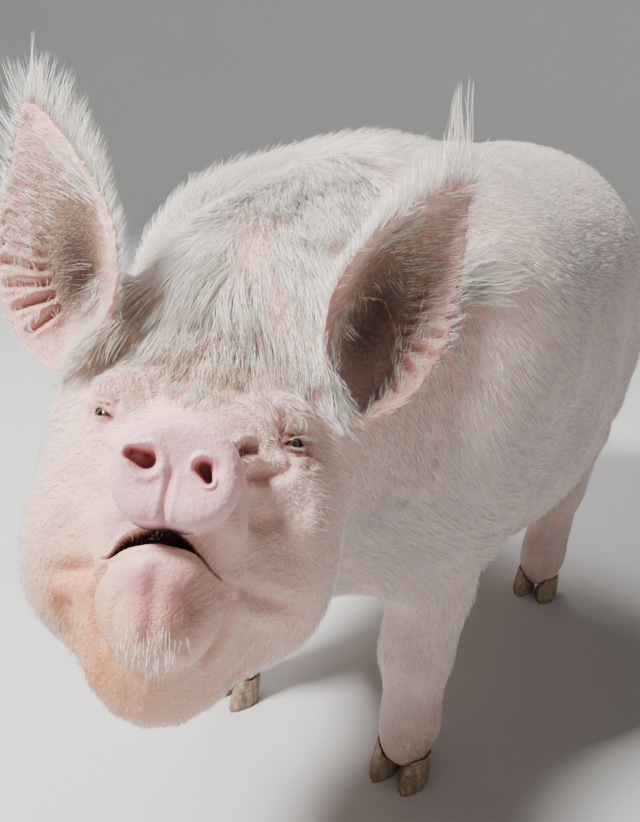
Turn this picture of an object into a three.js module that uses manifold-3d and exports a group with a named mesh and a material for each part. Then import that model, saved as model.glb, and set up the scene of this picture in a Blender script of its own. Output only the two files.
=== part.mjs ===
// A full-grown white sow, life size, standing with its head turned and lifted.
// Millimetres, +Z up. The pig faces -Y and its left side is +X. The floor is z = 0.
import * as THREE from 'three';
import { mergeVertices } from 'three/addons/utils/BufferGeometryUtils.js';
import Module from 'manifold-3d';

const wasm = await Module();
wasm.setup();

// ---- Driving sizes ----
const GAP = 0.4; // clearance between neighbouring nodes
const BACK_HEIGHT = 960;
const BELLY_HEIGHT = 215;
const BODY_WIDTH = 640;
const FRONT_TRACK = 330; // between the middles of the front feet
const HIND_TRACK = 376;
const WHEELBASE = 880; // front feet to the hip line
const STEP_AHEAD = 225; // how far in front of the hip line the left hind foot is set
const STEP_BEHIND = 40; // how far behind it the right hind foot is left
const SNOUT_WIDTH = 108;
const SNOUT_HEIGHT = 95;
const SNOUT_DEPTH = 30;
const EYE_SPACING = 184;
const EYE_RADIUS = 13;
const EAR_LENGTH = 306;
const EAR_WIDTH = 178;
const LEFT_LOCK = 140; // the long hair at the tip of each ear
const RIGHT_LOCK = 95;

// ---- How the head is carried ----
const HEAD = {
  nose: new THREE.Vector3(134, -515, 698),
  turn: THREE.MathUtils.degToRad(35), // to the pig's left
  lift: THREE.MathUtils.degToRad(28), // muzzle up
  tilt: THREE.MathUtils.degToRad(8), // left ear down
};
const HEAD_PLACE = new THREE.Matrix4().makeRotationFromEuler(
  new THREE.Euler(-HEAD.lift, HEAD.tilt, HEAD.turn, 'ZXY'),
).setPosition(HEAD.nose);
const HEAD_INVERSE = HEAD_PLACE.clone().invert();

// ---- Flesh: rounded masses that blend into each other ----
const vec = (x, y, z) => new THREE.Vector3(x, y, z);

// A ball-like mass with its own radius along x, y and z.
function ball(at, radii, blend = 40) {
  return { kind: 'ball', at: vec(...at), radii: vec(...radii), blend };
}

// A tapering mass from one round end to another; wide stretches it along x.
function limb(from, to, radiusFrom, radiusTo, blend = 30, wide = 1) {
  return { kind: 'limb', from: vec(...from), to: vec(...to), radiusFrom, radiusTo, blend, wide };
}

// The same mass on the left and the right side.
function pair(lobe) {
  const other = { ...lobe };
  for (const key of ['at', 'from', 'to']) {
    if (lobe[key]) other[key] = vec(-lobe[key].x, lobe[key].y, lobe[key].z);
  }
  return [lobe, other];
}

function distanceTo(lobe, point) {
  if (lobe.kind === 'ball') {
    const away = point.clone().sub(lobe.at);
    const near = away.clone().divide(lobe.radii).length();
    const slope = away.divide(lobe.radii).divide(lobe.radii).length();
    return near < 1e-6 ? -Math.min(...lobe.radii.toArray()) : (near * (near - 1)) / slope;
  }
  const squeeze = vec(1 / lobe.wide, 1, 1);
  const start = lobe.from.clone().multiply(squeeze);
  const axis = lobe.to.clone().multiply(squeeze).sub(start);
  const away = point.clone().multiply(squeeze).sub(start);
  const along = THREE.MathUtils.clamp(away.dot(axis) / axis.lengthSq(), 0, 1);
  const radius = THREE.MathUtils.lerp(lobe.radiusFrom, lobe.radiusTo, along);
  return away.sub(axis.multiplyScalar(along)).length() - radius;
}

// The nearer of two distances, with a rounded crease where they meet.
function soften(a, b, width) {
  const mix = THREE.MathUtils.clamp(0.5 + (a - b) / (2 * width), 0, 1);
  return THREE.MathUtils.lerp(a, b, mix) - width * mix * (1 - mix);
}

// How far a point is outside the blended masses; negative inside.
function outside(lobes, point) {
  const FAR = 1e4;
  return lobes.reduce((nearest, lobe) => soften(nearest, distanceTo(lobe, point), lobe.blend), FAR);
}

// Where a foot stands, and the joints of a hind leg above it.
function footPlace(isFront, side) {
  if (isFront) return { x: (side * FRONT_TRACK) / 2, y: 0 };
  return { x: (side * HIND_TRACK) / 2, y: WHEELBASE + (side > 0 ? -STEP_AHEAD : STEP_BEHIND) };
}

function hindJoints(side) {
  const { x, y } = footPlace(false, side);
  const hip = vec(side * 140, WHEELBASE - 60, 560);
  const stifle = vec(x, THREE.MathUtils.lerp(hip.y, y, 0.5) - 28, 400);
  const hock = vec(x, y + 58, 245);
  return { hip, stifle, hock };
}

function thigh(side) {
  const { hip, stifle } = hindJoints(side);
  return limb(hip.toArray(), stifle.toArray(), 150, 102, 50);
}

const TRUNK_LOBES = [
  limb([0, 190, BACK_HEIGHT - 300], [0, 650, BACK_HEIGHT - 288], 298, 284, 60, 1.03), // ribs
  ball([0, 390, BELLY_HEIGHT + 300], [BODY_WIDTH / 2, 440, 300], 60), // belly
  ball([0, 760, 690], [245, 300, 255], 60), // loin and rump
  ...pair(ball([128, 810, 590], [144, 225, 245], 60)), // hams
  ball([-20, 80, 660], [235, 215, 290], 60), // withers
  ...pair(ball([160, 50, 580], [142, 165, 230], 60)), // shoulders
  ...pair(ball([150, 120, 720], [145, 165, 180], 60)), // shoulder tops
  ball([-176, 5, 712], [152, 195, 202], 60), // the right shoulder, full on the outer side of the bend
  ball([0, -90, 480], [180, 130, 160], 60), // brisket
  ...pair(limb([168, 15, 470], [165, 10, 350], 105, 70, 40)), // upper forelegs
  ...[-1, 1].map((side) => thigh(side)),
];

// The neck joins the shoulders to the back of the skull. Its right side is the outer side of the bend.
const NECK_LOBES = [
  limb([0, 40, 640], [-25, -140, 600], 250, 180, 70),
  limb([-20, 60, 730], [-50, -110, 700], 215, 170, 70, 1.1), // crest
];

// In the head's own frame: y runs back and z up from the middle of the nose disc.
const SKULL_LOBES = [
  limb([0, 42, 0], [0, 150, 4], 45, 70, 12, 1.1), // upper jaw
  limb([0, 52, 16], [0, 150, 30], 34, 55, 15), // bridge
  limb([0, 236, 40], [0, 290, 200], 98, 92, 45, 1.25), // forehead to poll
  ...pair(ball([84, 212, -10], [66, 86, 80], 30)), // cheekbones
  ...pair(ball([72, 176, 84], [42, 34, 28], 26)), // brows
  ...pair(ball([108, 258, 45], [70, 72, 88], 30)), // temples
  ...pair(ball([140, 238, 170], [40, 46, 74], 20)), // ear roots
  ...pair(ball([42, 82, -32], [24, 42, 24], 12)), // upper lips
];
const JOWL_LOBES = [
  limb([0, 118, -88], [0, 290, -50], 68, 135, 40, 1.12),
  ...pair(ball([90, 226, -68], [80, 112, 112], 35)), // jowls
  ball([0, 168, -152], [82, 88, 90], 45), // throat
];
const CHIN_LOBES = [
  ball([0, 82, -118], [46, 52, 56], 26), // chin
  ball([0, 48, -76], [34, 26, 19], 16), // lower lip
  limb([0, 92, -102], [0, 160, -112], 56, 86, 30, 1.1), // lower jaw
];

const HEAD_BLEND = 45;
const outsideOnHead = (lobes, point) => outside(lobes, point.clone().applyMatrix4(HEAD_INVERSE));
const wholeBody = (point) => soften(
  outside([...TRUNK_LOBES, ...NECK_LOBES], point),
  outsideOnHead([...SKULL_LOBES, ...JOWL_LOBES], point),
  HEAD_BLEND,
);
const chin = (point) => outsideOnHead(CHIN_LOBES, point);

// ---- Closed meshes wrapped round the flesh ----
function toManifold(geometry) {
  const bare = geometry.clone();
  for (const name of Object.keys(bare.attributes)) {
    if (name !== 'position') bare.deleteAttribute(name);
  }
  const merged = mergeVertices(bare, 1e-4);
  return new wasm.Manifold(new wasm.Mesh({
    numProp: 3,
    vertProperties: new Float32Array(merged.attributes.position.array),
    triVerts: new Uint32Array(merged.index.array),
  }));
}

function toGeometry(solid) {
  const mesh = solid.getMesh();
  const geometry = new THREE.BufferGeometry();
  geometry.setAttribute('position', new THREE.BufferAttribute(mesh.vertProperties, 3));
  geometry.setIndex(new THREE.BufferAttribute(mesh.triVerts, 1));
  geometry.computeVertexNormals();
  return geometry;
}

// A cut can leave slivers; the body is the largest piece.
function largest(solid) {
  return solid.decompose().sort((a, b) => b.volume() - a.volume())[0];
}

// Marches from a point on the spine until the flesh ends, or the reach does.
function surfaceAlong(field, origin, direction, reach, grow) {
  const STEP = 3;
  const HALVINGS = 12;
  const at = (t) => field(origin.clone().addScaledVector(direction, t)) - grow;
  let far = 0;
  while (far < reach && at(far) < 0) far += STEP;
  if (far === 0 || far >= reach) return far === 0 ? STEP : reach;
  let near = far - STEP;
  for (let i = 0; i < HALVINGS; i += 1) {
    const middle = (near + far) / 2;
    if (at(middle) < 0) near = middle;
    else far = middle;
  }
  return near;
}

// A capsule bent along a spine. Each point lies on its own ray, as far out as distanceOf says.
function aroundSpine(spine, { caps, around, rings }, distanceOf) {
  const HALF = 1;
  const capsule = new THREE.CapsuleGeometry(1, 2 * HALF, caps, around, rings);
  const position = capsule.attributes.position;
  const vertex = vec(0, 0, 0);
  for (let i = 0; i < position.count; i += 1) {
    vertex.fromBufferAttribute(position, i);
    const onAxis = THREE.MathUtils.clamp(vertex.y, -HALF, HALF);
    const share = (onAxis + HALF) / (2 * HALF);
    const tangent = spine.getTangent(share);
    const side = vec(1, 0, 0).addScaledVector(tangent, -tangent.x).normalize();
    const up = side.clone().cross(tangent);
    const direction = side.multiplyScalar(vertex.x)
      .addScaledVector(tangent, vertex.y - onAxis)
      .addScaledVector(up, vertex.z)
      .normalize();
    const origin = spine.getPoint(share);
    const distance = distanceOf(origin, direction, share);
    position.setXYZ(i, ...origin.addScaledVector(direction, distance).toArray());
  }
  return toManifold(capsule);
}

// A mesh that lies on the surface of the flesh, or a little outside it.
function wrap(field, spine, { reach, grow = 0, ...size }) {
  return aroundSpine(spine, size, (origin, direction) => (
    surfaceAlong(field, origin, direction, reach, grow)
  ));
}

const headPoint = (x, y, z) => vec(x, y, z).applyMatrix4(HEAD_PLACE);
const headLine = (from, to) => new THREE.LineCurve3(headPoint(...from), headPoint(...to));

// Everything in front of a plane, as a big box whose one face lies on it.
const BIG = 3000;
function inFrontOf(point, normal, gap = 0) {
  const box = new THREE.BoxGeometry(BIG, BIG, BIG);
  box.translate(0, 0, BIG / 2 + gap);
  box.applyQuaternion(new THREE.Quaternion().setFromUnitVectors(vec(0, 0, 1), normal));
  box.translate(...point.toArray());
  return toManifold(box);
}

// The cut behind the jowls and poll, and the cut in front of the shoulders.
const bodyForward = vec(0, -1, 0);
const headForward = bodyForward.clone().transformDirection(HEAD_PLACE);
const NECK_CUT = {
  point: headPoint(0, 300, 20),
  normal: headForward.clone().add(bodyForward).normalize(),
};
const SHOULDER_LEAN = THREE.MathUtils.degToRad(22);
const SHOULDER_CUT = {
  point: vec(0, -45, 675),
  normal: vec(0, -Math.cos(SHOULDER_LEAN), Math.sin(SHOULDER_LEAN)),
};
const before = (cut) => inFrontOf(cut.point, cut.normal, GAP / 2);
const behind = (cut) => inFrontOf(cut.point, cut.normal.clone().negate(), GAP / 2);

// ---- Head ----
const HEAD_SPINE = headLine([0, 85, 0], [0, 265, 30]);
const HEAD_MESH = { caps: 11, around: 46, rings: 12, reach: 300 };

function eyeball(side, radius) {
  const EYE_BACK = 158;
  const EYE_UP = 54;
  const globe = new THREE.SphereGeometry(radius, 10, 7);
  globe.translate((side * EYE_SPACING) / 2, EYE_BACK, EYE_UP);
  return toManifold(globe.applyMatrix4(HEAD_PLACE));
}

function makeHead() {
  const whole = wrap(wholeBody, HEAD_SPINE, HEAD_MESH);
  const muzzleEnd = inFrontOf(headPoint(0, SNOUT_DEPTH, 0), headForward, -GAP);
  let head = whole.intersect(before(NECK_CUT)).subtract(muzzleEnd);
  for (const side of [-1, 1]) {
    head = head.subtract(eyeball(side, EYE_RADIUS + GAP)).subtract(earLeaf(side, true));
  }
  return largest(head);
}

// The head a hair larger, which is cut out of what grows from it or lies against it.
const headRoom = wrap(wholeBody, HEAD_SPINE, { ...HEAD_MESH, grow: GAP });

function makeLowerJaw() {
  const JAW_SPINE = headLine([0, 66, -105], [0, 120, -110]);
  return wrap(chin, JAW_SPINE, { caps: 6, around: 24, rings: 3, reach: 200 }).subtract(headRoom);
}

// The nose disc: a flat rounded plate, notched below, with two blind nostrils.
function makeSnout() {
  const NOTCH = 7;
  const BEVEL = 7;
  const POINTS = 26;
  const outline = new THREE.Shape();
  for (let i = 0; i <= POINTS; i += 1) {
    const angle = (i / POINTS) * 2 * Math.PI;
    const sideways = Math.sin(angle);
    const upwards = Math.cos(angle);
    const notch = NOTCH * Math.max(0, -upwards) ** 24;
    const x = (SNOUT_WIDTH / 2) * Math.sign(sideways) * Math.abs(sideways) ** 0.9;
    const z = (SNOUT_HEIGHT / 2) * Math.sign(upwards) * Math.abs(upwards) ** 0.95 + notch;
    if (i === 0) outline.moveTo(x, z);
    else if (i < POINTS) outline.lineTo(x, z);
  }
  outline.closePath();
  const plate = new THREE.ExtrudeGeometry(outline, {
    depth: SNOUT_DEPTH - 2 * BEVEL,
    bevelThickness: BEVEL,
    bevelSize: BEVEL,
    bevelOffset: -BEVEL,
    bevelSegments: 1,
    curveSegments: 2,
  });
  plate.rotateX(Math.PI / 2);
  plate.translate(0, SNOUT_DEPTH - BEVEL, 0);
  let disc = toManifold(plate.applyMatrix4(HEAD_PLACE));
  const NOSTRIL = { x: 26, z: 8, halfWidth: 11, halfHeight: 10, depth: 16 };
  for (const side of [-1, 1]) {
    const pit = new THREE.SphereGeometry(1, 10, 6);
    pit.scale(NOSTRIL.halfWidth, NOSTRIL.depth, NOSTRIL.halfHeight);
    pit.translate(side * NOSTRIL.x, 0, NOSTRIL.z);
    disc = disc.subtract(toManifold(pit.applyMatrix4(HEAD_PLACE)));
  }
  return disc;
}

// ---- Ears: broad upright leaves, cupped forwards and outwards, with a lock of hair at the tip ----
const EAR = {
  root: vec(184, 196, 182),
  lean: THREE.MathUtils.degToRad(12), // the tip outwards
  nod: THREE.MathUtils.degToRad(6), // the tip forwards
  open: THREE.MathUtils.degToRad(28), // the cup outwards
  thickness: 9,
  cup: 66,
  mouth: 34, // how far the hollow reaches out in front of the rims
  below: 0.28, // the share of the length that hangs under the root
  sweep: 24, // how far the front rim runs out to the tip
};

// Turns an ear-shaped piece from its own upright frame to its place on one side of the head.
function placeOnHead(piece, side) {
  piece.rotateZ(EAR.open);
  piece.rotateY(EAR.lean);
  piece.rotateX(EAR.nod);
  piece.translate(...EAR.root.toArray());
  if (side < 0) {
    piece.scale(-1, 1, 1);
    const order = piece.index.array;
    for (let i = 0; i < order.length; i += 3) {
      [order[i], order[i + 1]] = [order[i + 1], order[i]];
    }
  }
  return toManifold(piece.applyMatrix4(HEAD_PLACE));
}

// The leaf of one ear or, where hollow is true, the space that its cup encloses.
function earLeaf(side, hollow = false, grow = 0) {
  const leaf = new THREE.SphereGeometry(1, 16, 13);
  leaf.rotateX(Math.PI / 2); // poles at the root and the tip
  const position = leaf.attributes.position;
  for (let i = 0; i < position.count; i += 1) {
    const along = (position.getZ(i) + 1) / 2;
    const ringRadius = Math.sqrt(Math.max(1e-9, 1 - position.getZ(i) ** 2));
    const across = position.getX(i) / ringRadius;
    const fore = position.getY(i) / ringRadius;
    const outline = Math.sin(Math.PI * along ** 0.78) ** 0.8 * (1 - 0.22 * along ** 2);
    const fullness = Math.min(1, outline * 1.3);
    const cup = EAR.cup * (1 - along) ** 0.55 * (1 - across ** 2) * fullness;
    const thick = (EAR.thickness + grow) * Math.min(1, 2 * ringRadius) * (1.25 - 0.75 * along);
    const shell = cup + thick * fore;
    const space = Math.max(0, fore) * (cup - thick) + Math.min(0, fore) * EAR.mouth * fullness;
    position.setXYZ(
      i,
      (EAR_WIDTH / 2) * outline * across + EAR.sweep * (along ** 2 - Math.sin(Math.PI * along) / 3),
      hollow ? space : shell,
      (along - EAR.below) * EAR_LENGTH,
    );
  }
  return placeOnHead(leaf, side);
}

// The long hairs of the tip, as one tapering lock that stands up from it.
function tipLock(side) {
  const OVERLAP = 22;
  const length = side > 0 ? LEFT_LOCK : RIGHT_LOCK;
  const inward = THREE.MathUtils.degToRad(side > 0 ? 29 : 8);
  const lock = new THREE.CylinderGeometry(1.2, 8, length, 6, 1);
  lock.rotateX(Math.PI / 2);
  lock.translate(0, 0, length / 2 - OVERLAP);
  lock.rotateY(-inward);
  lock.translate(EAR.sweep, 0, (1 - EAR.below) * EAR_LENGTH);
  return placeOnHead(lock, side);
}

// What an ear and its hollow take out of the flesh behind them.
function earRoom(side) {
  return earLeaf(side, false, GAP).add(earLeaf(side, true));
}

function makeEar(side) {
  return largest(earLeaf(side).add(tipLock(side)).subtract(headRoom));
}

// ---- Trunk and neck ----
const BODY_SPINE = new THREE.CatmullRomCurve3([
  vec(0, -60, 610), vec(0, 200, 625), vec(0, 500, 625), vec(0, 850, 650),
]);

const TRUNK_MESH = { caps: 6, around: 32, rings: 11, reach: 420 };

function makeTrunk() {
  const whole = wrap(wholeBody, BODY_SPINE, TRUNK_MESH);
  return whole.intersect(behind(SHOULDER_CUT)).subtract(makeTail(GAP));
}

function makeNeck() {
  const spine = new THREE.LineCurve3(vec(0, 30, 650), headPoint(0, 270, 20));
  const whole = wrap(wholeBody, spine, { caps: 4, around: 30, rings: 6, reach: 420 });
  const neck = whole.intersect(before(SHOULDER_CUT)).intersect(behind(NECK_CUT));
  return largest(neck.subtract(earRoom(1)).subtract(earRoom(-1)));
}

// ---- Legs ----
function legShape(isFront, side) {
  const { x, y } = footPlace(isFront, side);
  const pastern = [[x, y + 3, 92], [x, y - 10, 60]];
  if (isFront) {
    return {
      joints: [[x, 25, 470], [x, 24, 330], [x, -6, 215], [x, 3, 140], ...pastern],
      radii: [88, 70, 56, 43, 46, 44],
      bulges: [ball([x, 68, 392], [48, 62, 58], 30)], // elbow
    };
  }
  const { stifle, hock } = hindJoints(side);
  return {
    joints: [stifle.toArray(), hock.toArray(), [x, y + 24, 150], ...pastern],
    radii: [94, 59, 44, 46, 44],
    bulges: [ball([x, y + 84, 268], [30, 42, 48], 24)], // point of the hock
  };
}

function legFlesh(isFront, side) {
  const { joints, radii, bulges } = legShape(isFront, side);
  const bones = joints.slice(1).map((joint, i) => (
    limb(joints[i], joint, radii[i], radii[i + 1], 25, 0.98)
  ));
  return (point) => outside([...bones, ...bulges], point);
}

const trunkRoom = wrap(wholeBody, BODY_SPINE, { ...TRUNK_MESH, grow: GAP });

function makeLeg(isFront, side, grow = 0) {
  const FOOT_TOP = 70;
  const { joints } = legShape(isFront, side);
  const inner = joints.slice(0, -1).map((joint) => vec(...joint));
  const spine = new THREE.CatmullRomCurve3([...inner, vec(...joints.at(-1)).setZ(FOOT_TOP)]);
  const size = { caps: 3, around: 12, rings: 10, reach: 200, grow };
  return wrap(legFlesh(isFront, side), spine, size);
}

// ---- Hooves: two flat-soled claws in front and two small dewclaws behind on each foot ----
const CLAW = {
  length: 88,
  width: 47,
  height: 52,
  apart: 50,
  ahead: 22, // of the middle of the leg
  heel: 0.62, // the heel's length as a share of the toe's
  toeTaper: 0.45,
  slant: 14, // how far the top lies behind the sole
};
const DEWCLAW = { length: 34, width: 24, height: 22, top: 84, behind: 40, apart: 42, slant: 28 };

function makeClaw(isFront, side, inner) {
  const foot = footPlace(isFront, side);
  const claw = new THREE.CylinderGeometry(0.5, 0.5, 1, 10, 1);
  claw.rotateX(Math.PI / 2);
  const position = claw.attributes.position;
  for (let i = 0; i < position.count; i += 1) {
    const height = position.getZ(i) + 0.5;
    const across = position.getX(i);
    const back = position.getY(i);
    const taper = 1 - CLAW.toeTaper * Math.max(0, -2 * back) ** 2;
    const shorten = (back < 0 ? 1 : CLAW.heel) * (1 - 0.2 * height);
    position.setXYZ(
      i,
      foot.x + (inner * CLAW.apart) / 2 + across * CLAW.width * taper * (1 - 0.16 * height),
      foot.y - CLAW.ahead + back * CLAW.length * shorten + CLAW.slant * height,
      height * CLAW.height,
    );
  }
  return toManifold(claw).subtract(makeLeg(isFront, side, GAP));
}

function makeDewclaw(isFront, side, inner) {
  const foot = footPlace(isFront, side);
  const nail = new THREE.SphereGeometry(0.5, 6, 4);
  nail.scale(DEWCLAW.width, DEWCLAW.height, DEWCLAW.length);
  nail.rotateX(THREE.MathUtils.degToRad(DEWCLAW.slant));
  nail.translate(
    foot.x + (inner * DEWCLAW.apart) / 2,
    foot.y + DEWCLAW.behind,
    DEWCLAW.top - DEWCLAW.length / 2,
  );
  return toManifold(nail).subtract(makeLeg(isFront, side, GAP));
}

// ---- Tail: hangs from the rump with a loose bend ----
function makeTail(grow = 0) {
  const ROOT_RADIUS = 24;
  const TIP_RADIUS = 7;
  const route = new THREE.CatmullRomCurve3([
    vec(0, 990, 800), vec(2, 1078, 772), vec(16, 1125, 700), vec(36, 1130, 610),
    vec(24, 1108, 530), vec(-6, 1100, 472),
  ]);
  return aroundSpine(route, { caps: 2, around: 8, rings: 10 }, (origin, direction, share) => (
    THREE.MathUtils.lerp(ROOT_RADIUS, TIP_RADIUS, share ** 0.6) + grow
  ));
}

// ---- The whole animal ----
const SKIN = { color: 0xe6c0b6, roughness: 0.75, metalness: 0 };
const NOSE = { color: 0xdfa9a6, roughness: 0.6, metalness: 0 };
const EAR_SKIN = { color: 0xd9a49b, roughness: 0.7, metalness: 0 };
const HORN = { color: 0x9a8572, roughness: 0.6, metalness: 0 };
const EYE = { color: 0x2a1c14, roughness: 0.15, metalness: 0 };

const group = new THREE.Group();

function add(name, solid, finish) {
  const mesh = new THREE.Mesh(toGeometry(solid), new THREE.MeshStandardMaterial(finish));
  mesh.name = name;
  group.add(mesh);
}

add('head', makeHead(), SKIN);
add('snout', makeSnout(), NOSE);
add('lower_jaw', makeLowerJaw(), SKIN);
add('neck', makeNeck(), SKIN);
for (const [end, isFront] of [['front', true], ['hind', false]]) {
  for (const [hand, side] of [['left', 1], ['right', -1]]) {
    add(`leg_${end}_${hand}`, largest(makeLeg(isFront, side).subtract(trunkRoom)), SKIN);
    for (const [place, inner] of [['inner', -side], ['outer', side]]) {
      add(`claw_${end}_${hand}_${place}`, makeClaw(isFront, side, inner), HORN);
      add(`dewclaw_${end}_${hand}_${place}`, makeDewclaw(isFront, side, inner), HORN);
    }
  }
}
add('trunk', makeTrunk(), SKIN);
add('tail', makeTail(), SKIN);
for (const [hand, side] of [['left', 1], ['right', -1]]) {
  add(`ear_${hand}`, makeEar(side), EAR_SKIN);
  add(`eye_${hand}`, eyeball(side, EYE_RADIUS), EYE);
}

// The origin is the middle of the footprint.
group.updateMatrixWorld(true);
const middle = new THREE.Box3().setFromObject(group).getCenter(vec(0, 0, 0));
group.position.set(-middle.x, -middle.y, 0);

export default group;
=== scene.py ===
"""A full-grown white pig with its head lifted and turned: skin, eyes, hooves, coat and stage."""

import math

import bpy
import numpy as np
from mathutils import Matrix, Vector
from mathutils.bvhtree import BVHTree
from mathutils.geometry import barycentric_transform
from mathutils.kdtree import KDTree


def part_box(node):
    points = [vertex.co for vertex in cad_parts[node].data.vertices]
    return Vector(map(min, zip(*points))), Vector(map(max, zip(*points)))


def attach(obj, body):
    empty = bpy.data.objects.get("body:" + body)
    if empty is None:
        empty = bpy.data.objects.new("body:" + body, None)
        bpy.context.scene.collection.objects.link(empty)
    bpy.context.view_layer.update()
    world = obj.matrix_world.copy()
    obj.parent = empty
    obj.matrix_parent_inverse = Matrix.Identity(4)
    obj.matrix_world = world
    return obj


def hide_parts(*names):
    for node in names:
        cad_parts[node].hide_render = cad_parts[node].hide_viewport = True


bl_info = {
    "name": "White Pig",
    "version": (1, 0, 0),
    "blender": (4, 5, 0),
    "location": "View3D > Sidebar > Pig",
    "description": "Builds a life-size white pig's skin, eyes, hooves and coat around its frame",
    "category": "Object",
}

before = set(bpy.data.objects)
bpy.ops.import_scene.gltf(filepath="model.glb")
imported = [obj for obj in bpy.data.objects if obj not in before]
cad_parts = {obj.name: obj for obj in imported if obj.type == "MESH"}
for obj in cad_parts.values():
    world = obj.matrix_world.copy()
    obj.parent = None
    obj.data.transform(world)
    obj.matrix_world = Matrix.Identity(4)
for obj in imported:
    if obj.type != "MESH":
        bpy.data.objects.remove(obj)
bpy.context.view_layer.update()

FEET = [(end, hand) for end in ("front", "hind") for hand in ("left", "right")]
LEGS = [f"leg_{end}_{hand}" for end, hand in FEET]
EARS = ["ear_left", "ear_right"]
EYES = ["eye_left", "eye_right"]
FLESH = ["head", "snout", "lower_jaw", "neck", "trunk", "tail"] + EARS + LEGS
SIDES = {"left": 1, "right": -1}


# ---------------------------------------------------------------- places taken from the frame


def middle(node):
    """The middle of a CAD node's box."""
    low, high = (np.array(corner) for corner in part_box(node))
    return (low + high) / 2


def unit(vectors):
    """Vectors of length one."""
    vectors = np.asarray(vectors, dtype=float)
    size = np.linalg.norm(vectors, axis=-1, keepdims=True)
    return vectors / np.maximum(size, 1e-12)


class HeadFrame:
    """The head's own axes: x to the pig's left, y back and z up from the middle of the nose disc."""

    EYE_BACK = 0.158
    EYE_UP = 0.054
    DISC_MIDDLE = 0.015

    def __init__(self):
        left, right, disc = middle("eye_left"), middle("eye_right"), middle("snout")
        x_axis = unit(left - right)
        lift = math.atan2(self.EYE_UP, self.EYE_BACK - self.DISC_MIDDLE)
        to_brow = (left + right) / 2 - disc
        to_brow = unit(to_brow - x_axis * to_brow.dot(x_axis))
        across = np.cross(x_axis, to_brow)
        y_axis = math.cos(lift) * to_brow - math.sin(lift) * across
        self.axes = np.stack([x_axis, y_axis, np.cross(x_axis, y_axis)], axis=1)
        self.origin = disc - self.DISC_MIDDLE * y_axis

    def local(self, points):
        """World places in the head's own axes."""
        return (np.asarray(points) - self.origin) @ self.axes

    def world(self, points):
        """Places in the head's own axes, in the world."""
        return np.asarray(points) @ self.axes.T + self.origin

    def turn(self, vectors):
        """Directions in the head's own axes, in the world."""
        return np.asarray(vectors) @ self.axes.T

    def turn_back(self, vectors):
        """World directions in the head's own axes."""
        return np.asarray(vectors) @ self.axes


HEAD = HeadFrame()
EYE_RADIUS = 0.013
EYE_HALF_WIDTH = 0.0116
EAR_ROOT = (0.184, 0.196, 0.182)
EAR_TIP = (0.250, 0.185, 0.393)
EAR_OPENS = (0.47, -0.87, -0.09)


def nearest_of(places, points):
    """The number of the place that lies nearest to each point."""
    tree = KDTree(len(places))
    for number, place in enumerate(places):
        tree.insert(place, number)
    tree.balance()
    return np.array([tree.find(point)[1] for point in points])


def on_side(place, side):
    """A place or direction of the left side, mirrored for side -1."""
    return np.array(place) * (side, 1, 1)


def which_side(points):
    """1 left of the head's middle and -1 right of it."""
    return np.where(points[:, 0] < 0, -1.0, 1.0)


def ear_up(side):
    """The way the ear of one side points, from its root to its tip."""
    return unit(on_side(EAR_TIP, side) - on_side(EAR_ROOT, side))


def sideways(direction, side):
    """One direction for each point, its x turned as far to a side as side says."""
    ones = np.ones(len(side))
    return np.array(direction) * np.column_stack([side, ones, ones])


def ear_opening(side):
    """The way the ear of each side opens."""
    return unit(sideways(EAR_OPENS, side))


def node_tree(*nodes):
    """A search tree over the surfaces of some CAD nodes."""
    points, faces = [], []
    for node in nodes:
        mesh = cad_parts[node].data
        start = len(points)
        points += [vertex.co.copy() for vertex in mesh.vertices]
        faces += [[start + corner for corner in face.vertices] for face in mesh.polygons]
    return BVHTree.FromPolygons(points, faces)


EAR_TREE = node_tree(*EARS)
REST_TREE = node_tree("head", "neck", "trunk")


# ---------------------------------------------------------------- sizes and colours


def length(name, description, default):
    """A size in metres that a user can change."""
    return bpy.props.FloatProperty(
        name=name, description=description, default=default, min=0.0, unit="LENGTH", precision=4
    )


def amount(name, description, default):
    """A plain factor that a user can change."""
    return bpy.props.FloatProperty(
        name=name, description=description, default=default, min=0.0, subtype="FACTOR"
    )


def count(name, description, default):
    """A number of like things that a user can change."""
    return bpy.props.IntProperty(name=name, description=description, default=default, min=0)


def colour(name, description, default):
    """A linear colour that a user can change."""
    return bpy.props.FloatVectorProperty(
        name=name, description=description, default=default, size=3, min=0.0, max=1.0,
        subtype="COLOR",
    )


class PigSkinSettings(bpy.types.PropertyGroup):
    """Sizes and colours of the skin."""

    rough_voxel: length("Rough voxel", "Mesh size of the first, heavily evened flesh", 0.005)
    ear_voxel: length("Ear voxel", "Mesh size of the ears before they join the head", 0.0022)
    skin_voxel: length("Skin voxel", "Mesh size of the finished skin on the head", 0.0046)
    body_coat: length("Body coat", "How deep the skin lies under the coat of the body", 0.005)
    face_coat: length("Face coat", "How deep the skin lies under the down of the face", 0.0015)
    pink: colour("Pink", "Hide of the face and body", (0.81, 0.49, 0.42))
    # Flush: blood in the ears, nose and skin, and painted shade along the folds
    flush: colour("Flush", "Blood showing in folds, ears and nose", (0.62, 0.24, 0.235))
    grey: colour("Grey", "Lilac-grey of the back and flanks", (0.48, 0.435, 0.445))
    # Dirt: dried mud, and painted shade inside the ears, round the left eye and on the chin
    dirt_and_shade: colour("Dirt", "Dried mud", (0.27, 0.17, 0.10))
    # Stain: an orange stain, made darker as painted shade on the lower jowl
    stain_and_shade: colour("Stain", "Orange stain of the jowl", (0.64, 0.26, 0.10))
    snout: colour("Snout", "Bare skin of the nose disc", (0.90, 0.54, 0.57))
    # Dark colour of the lid rims, and painted shade in the mouth, nostrils, ear hollows, a nose fold
    # and round the left eye
    dark_and_shade: colour("Dark", "Mouth, nostrils and eye rims", (0.060, 0.024, 0.021))


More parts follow.
